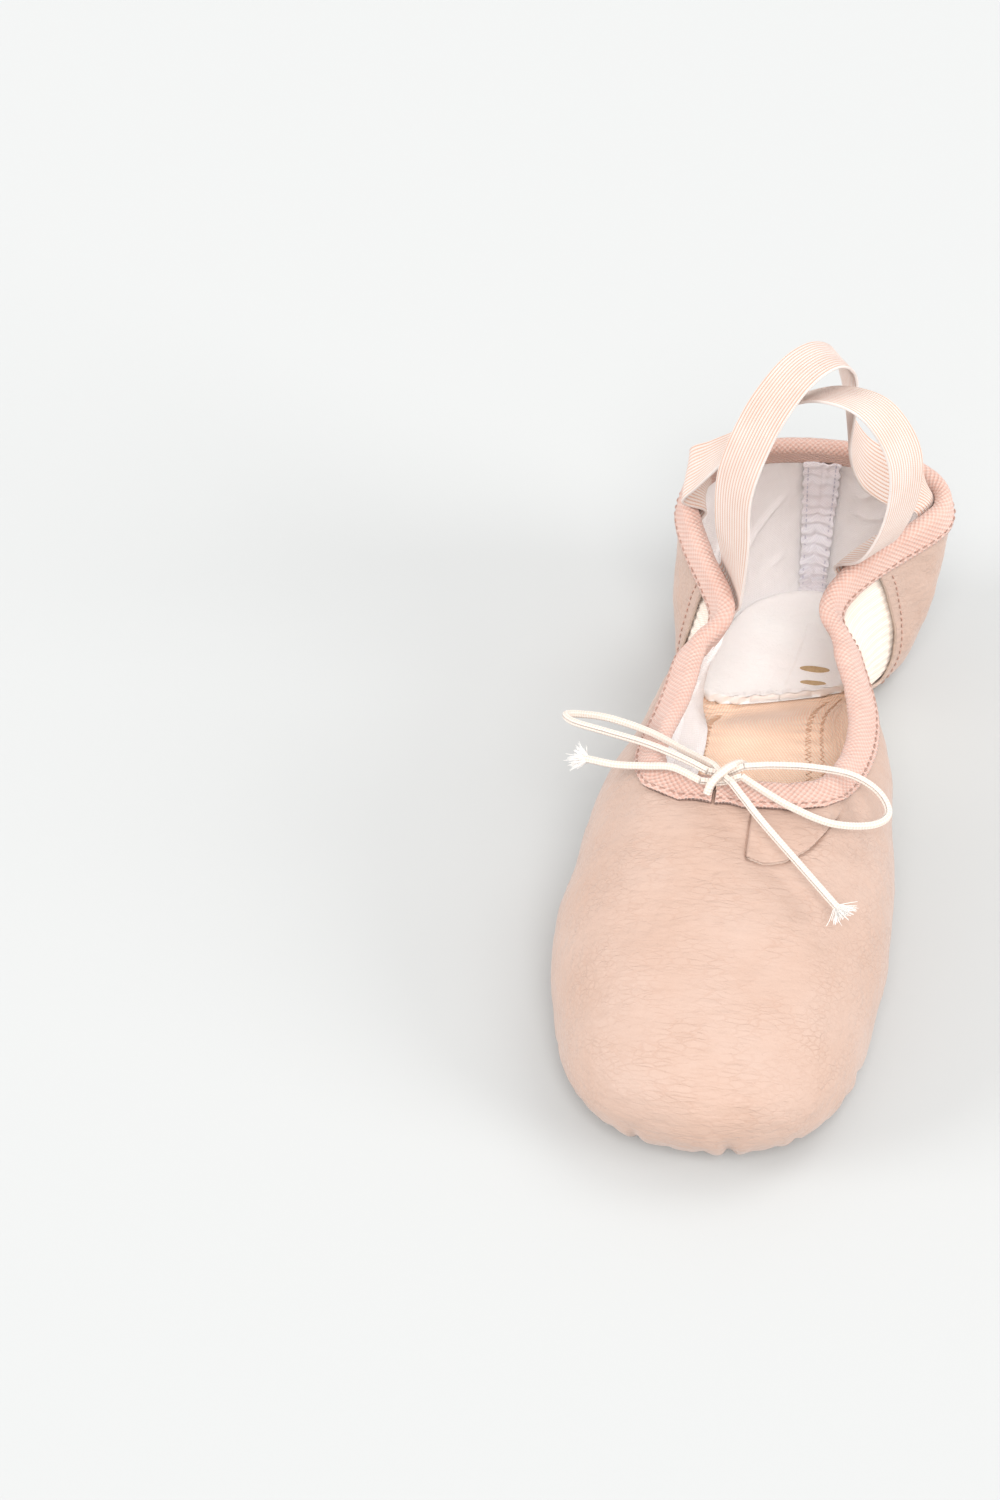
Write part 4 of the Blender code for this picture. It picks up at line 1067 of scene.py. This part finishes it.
def arch():
    share, b = grid(np.linspace(0, 1, 150), np.linspace(0, 1, 190))
    front, rear = seam_a(FRONT_SEAM, b) - PANEL_TUCK, seam_a(REAR_SEAM, b) + PANEL_TUCK
    faces = []
    for a in (front + (rear - front) * share, -front - (rear - front) * share):
        points, normal, relief = surface(a, b), normals(a, b), arch_relief(a, b)
        faces.append([points + normal * (relief - depth)[..., None]
                      for depth in (PANEL_DEPTH, PANEL_DEPTH + LINING)])
    outer, inner = [np.concatenate([left[:, :0:-1], right], axis=1) for right, left in zip(*faces)]
    obj = shell("stretch_arch_panel", outer, inner, flat_coordinates(outer), [MESH_OUT, MESH_IN])
    folding(obj, "stretch_mesh", "arch_panel")
    for side, word in ((1, "right"), (-1, "left")):
        stitched("arch_zigzag_" + word, zigzag(side), MESH_THREAD, "pink_thread", "arch_stitch_" + word)


def zigzag(side):
    """Two rows of zigzag stitches lengthwise on the inner face of the panel."""
    out = []
    for middle in (0.085, 0.125):
        a = side * np.linspace(0.455, 0.665, 96)
        b = middle + 0.007 * np.where(np.arange(96) % 2, 1, -1)
        line = inside(a, b, (PANEL_DEPTH + LINING + 0.12 - arch_relief(a, b))[:, None])
        t = np.linspace(0, 1, 5)[:, None]
        out += [(start * (1 - t) + end * t, 0.10) for start, end in zip(line[:-1], line[1:])]
    return out


# ---- binding and drawstring ----
def ring_at(count):
    """Evenly spread places round the topline, from one side of the bow to the other."""
    fine = np.linspace(BOW_A + MOUTH_GAP, BOW_A + 2 - MOUTH_GAP, 4001)
    run = run_along(surface(fine, np.ones_like(fine)))
    spots = np.linspace(0, run[-1], count)
    return np.interp(spots, run, fine), spots


def binding():
    """Tape folded over the topline, ruched by the drawstring in its round casing."""
    count = 1500
    a, run = ring_at(count)
    middle, outer = (CASING_OUT + CASING_IN) / 2, (CASING_IN - CASING_OUT) / 2 + BINDING
    inner = outer - BINDING
    pull = 0.30 + 1.1 * bell(np.minimum(run, run[-1] - run), 26)
    ruche = (np.abs(np.sin(run / 2.6 + 1.6 * noise(run / 8, run * 0, 131))) - 0.5) * pull
    fold = 0.8 * noise(run / 9, run * 0, 133) + 0.3 * noise(run / 2.6, run * 0, 135)
    scallop, swell = 0.55 * ruche + 0.35 * fold, 0.28 * ruche + 0.22 * fold
    # round the tape: height, depth and whether it is the outer face
    leg = np.linspace(-BINDING_LEG, -0.5, 8)
    section = [(h, middle - outer, 1) for h in leg]
    section += [(CASING_RISE + outer * math.sin(t), middle - outer * math.cos(t), 1)
                for t in np.linspace(0, np.pi, 19)]
    section += [(h, middle + outer, 1) for h in leg[::-1]]
    section += [(h, middle + inner, 0) for h in leg]
    section += [(CASING_RISE + inner * math.sin(t), middle - inner * math.cos(t), 0)
                for t in np.linspace(np.pi, 0, 11)]
    section += [(h, middle - inner, 0) for h in leg[::-1]]
    # the inner leg is cut short where the lining runs up behind it on the -X side
    short = 1 - 0.85 * rising(-a, 0.10, 0.10) * falling(-a, 0.62, 0.10)
    rings = []
    for height, depth, face in section:
        lower = np.clip(-height / BINDING_LEG, 0, 1)
        h = height * short if height < 0 and depth > middle else height
        h = h + scallop * lower + (swell * face if height > 0 else 0.0)
        side = -1 if depth < middle else 1
        rings.append(by_topline(a, h, depth + side * swell * face * (0.6 + 0.4 * lower)))
    sides = len(section)
    index = np.arange(count * sides).reshape(count, sides)
    faces = closed_quads(index)
    for end in (index[0], index[-1]):
        faces += [(end[k], end[sides - 1 - k], end[sides - 2 - k], end[k + 1])
                  for k in range(sides // 2 - 1)]
    uv = np.stack(grid(run, run_along(np.array(section)[:, :2])), -1)
    obj = new_piece("canvas_binding", np.stack(rings, axis=1).reshape(-1, 3), faces, uv.reshape(-1, 2),
                    [CANVAS])
    folding(obj, "pink_canvas", "topline_binding")
    line = by_topline(a, 1.5 - BINDING_LEG + 0.4 * ruche, middle - outer - 0.12 - 0.3 * swell)
    lines = stitch_lines(line, normals(a, np.ones_like(a)), 1.9, 0.9, 0.22)
    stitched("binding_stitches", lines, PINK_THREAD, "pink_thread", "binding_thread")
    line = by_topline(a, CASING_RISE, middle)[::3]
    obj = bundle("cord_in_casing", [(line, CORD_RADIUS)], 12, CORD_BRAID)
    folding(obj, "cream_cord", "drawstring")


# ---- threads on the seams ----
def seam_stitches(name, a, b, relief, *nodes):
    normal = normals(a, b)
    path = surface(a, b) + normal * (relief(a, b) + 0.10)[:, None]
    stitched(name, stitch_lines(path, normal, 1.7, 0.8, 0.20), PINK_THREAD, "pink_thread", *nodes)


def seams():
    front = along(FRONT_SEAM, 240)
    front = front[(front[:, 1] > 0.16) & (front[:, 1] < 0.93)] + (-0.010, 0.014)
    rise = np.linspace(0.14, 0.93, 240)
    rear = np.stack([seam_a(REAR_SEAM, rise) + 0.009, rise], axis=1)
    for side, word in ((1, "right"), (-1, "left")):
        for line, part, relief in ((front, "vamp", vamp_relief), (rear, "heel", heel_relief)):
            seam_stitches(f"{part}_seam_stitches_{word}", side * line[:, 0], line[:, 1], relief,
                          f"{part}_seam_thread_{word}")
    for offset, word in ((-0.011, "right"), (0.011, "left")):
        seam_stitches("back_seam_stitches_" + word, wrapped(1 + offset + 0 * rise), rise, heel_relief)


# ---- ankle elastics ----
def topline_rate(a):
    """Millimetres along the topline per unit of a, as a vector."""
    return (surface(a + 1e-3, 1.0) - surface(a - 1e-3, 1.0)) / 2e-3


def strap(letter, front, rear, path, across_free):
    """A ribbed elastic sewn inside the topline at both ends and standing over the ankle opening."""
    tab = (-TAB_LENGTH, -9.0, -5.0, 0.0, 4.0)
    keys = np.array(across_free)
    across = sample(np.linspace(0, len(keys) - 1, len(path)), np.arange(len(keys)), keys)
    across /= np.linalg.norm(across, axis=1, keepdims=True)
    lines = []
    for offset in (-ELASTIC_WIDTH / 2, 0.0, ELASTIC_WIDTH / 2):
        ends = []
        for a, heights in ((front, tab), (rear, tab[::-1])):
            rate = topline_rate(a)
            place = a + offset * np.sign(np.dot(rate, keys[0])) / np.linalg.norm(rate)
            ends.append([by_topline(place, height, TAB_DEPTH) for height in heights])
        free = np.array(path) + ORIGIN + across * offset
        lines.append(along(np.concatenate([ends[0], free, ends[1]]), 300))
    share = np.linspace(-1, 1, 8 * RIBS + 1)
    weights = np.stack([share * (share - 1) / 2, 1 - share ** 2, share * (share + 1) / 2], 1)
    points = np.einsum("sk,knc->nsc", weights, np.stack(lines))
    face = np.cross(np.gradient(points, axis=0), np.gradient(points, axis=1))
    face /= np.linalg.norm(face, axis=2, keepdims=True)
    rib = 0.27 + 0.17 * np.sqrt(np.abs(np.cos(share * RIBS * np.pi / 2)))
    rib = face * (rib * np.clip((1 - np.abs(share)) / 0.012, 0.35, 1) ** 0.5)[None, :, None]
    run = run_along(lines[1])
    uv = np.stack(grid(run, share * ELASTIC_WIDTH / 2)[::-1], -1)
    obj = shell("ribbed_elastic_" + letter, points + rib, points - rib, uv, [ELASTIC_CLOTH])
    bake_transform(obj)
    standing_for(obj, ["ankle_elastic_" + letter])


def strap_stitches(number, a):
    """Two rows of stitches across a sewn end."""
    a = a + np.linspace(-7.0, 7.0, 30) / np.linalg.norm(topline_rate(a))
    normal = -normals(a, np.ones_like(a))
    lines = []
    for height in (-4.5, -7.5):
        path = by_topline(a, height, TAB_DEPTH + ELASTIC / 2 + 0.1)
        lines += stitch_lines(path, normal, 1.6, 0.7, 0.2)
    stitched(f"elastic_bar_stitches_{number}", lines, PINK_THREAD, "pink_thread",
             f"elastic_stitch_{number}")


def straps():
    strap("a", STRAP_A_FRONT, STRAP_A_REAR, STRAP_A_PATH, STRAP_A_ACROSS)
    strap("b", STRAP_B_FRONT, STRAP_B_REAR, STRAP_B_PATH, STRAP_B_ACROSS)
    for number, a in enumerate((STRAP_A_FRONT, STRAP_A_REAR, STRAP_B_FRONT, STRAP_B_REAR), 1):
        strap_stitches(number, a)


studio()
bow()
vamp()
heel()
soles()
arch()
binding()
seams()
straps()
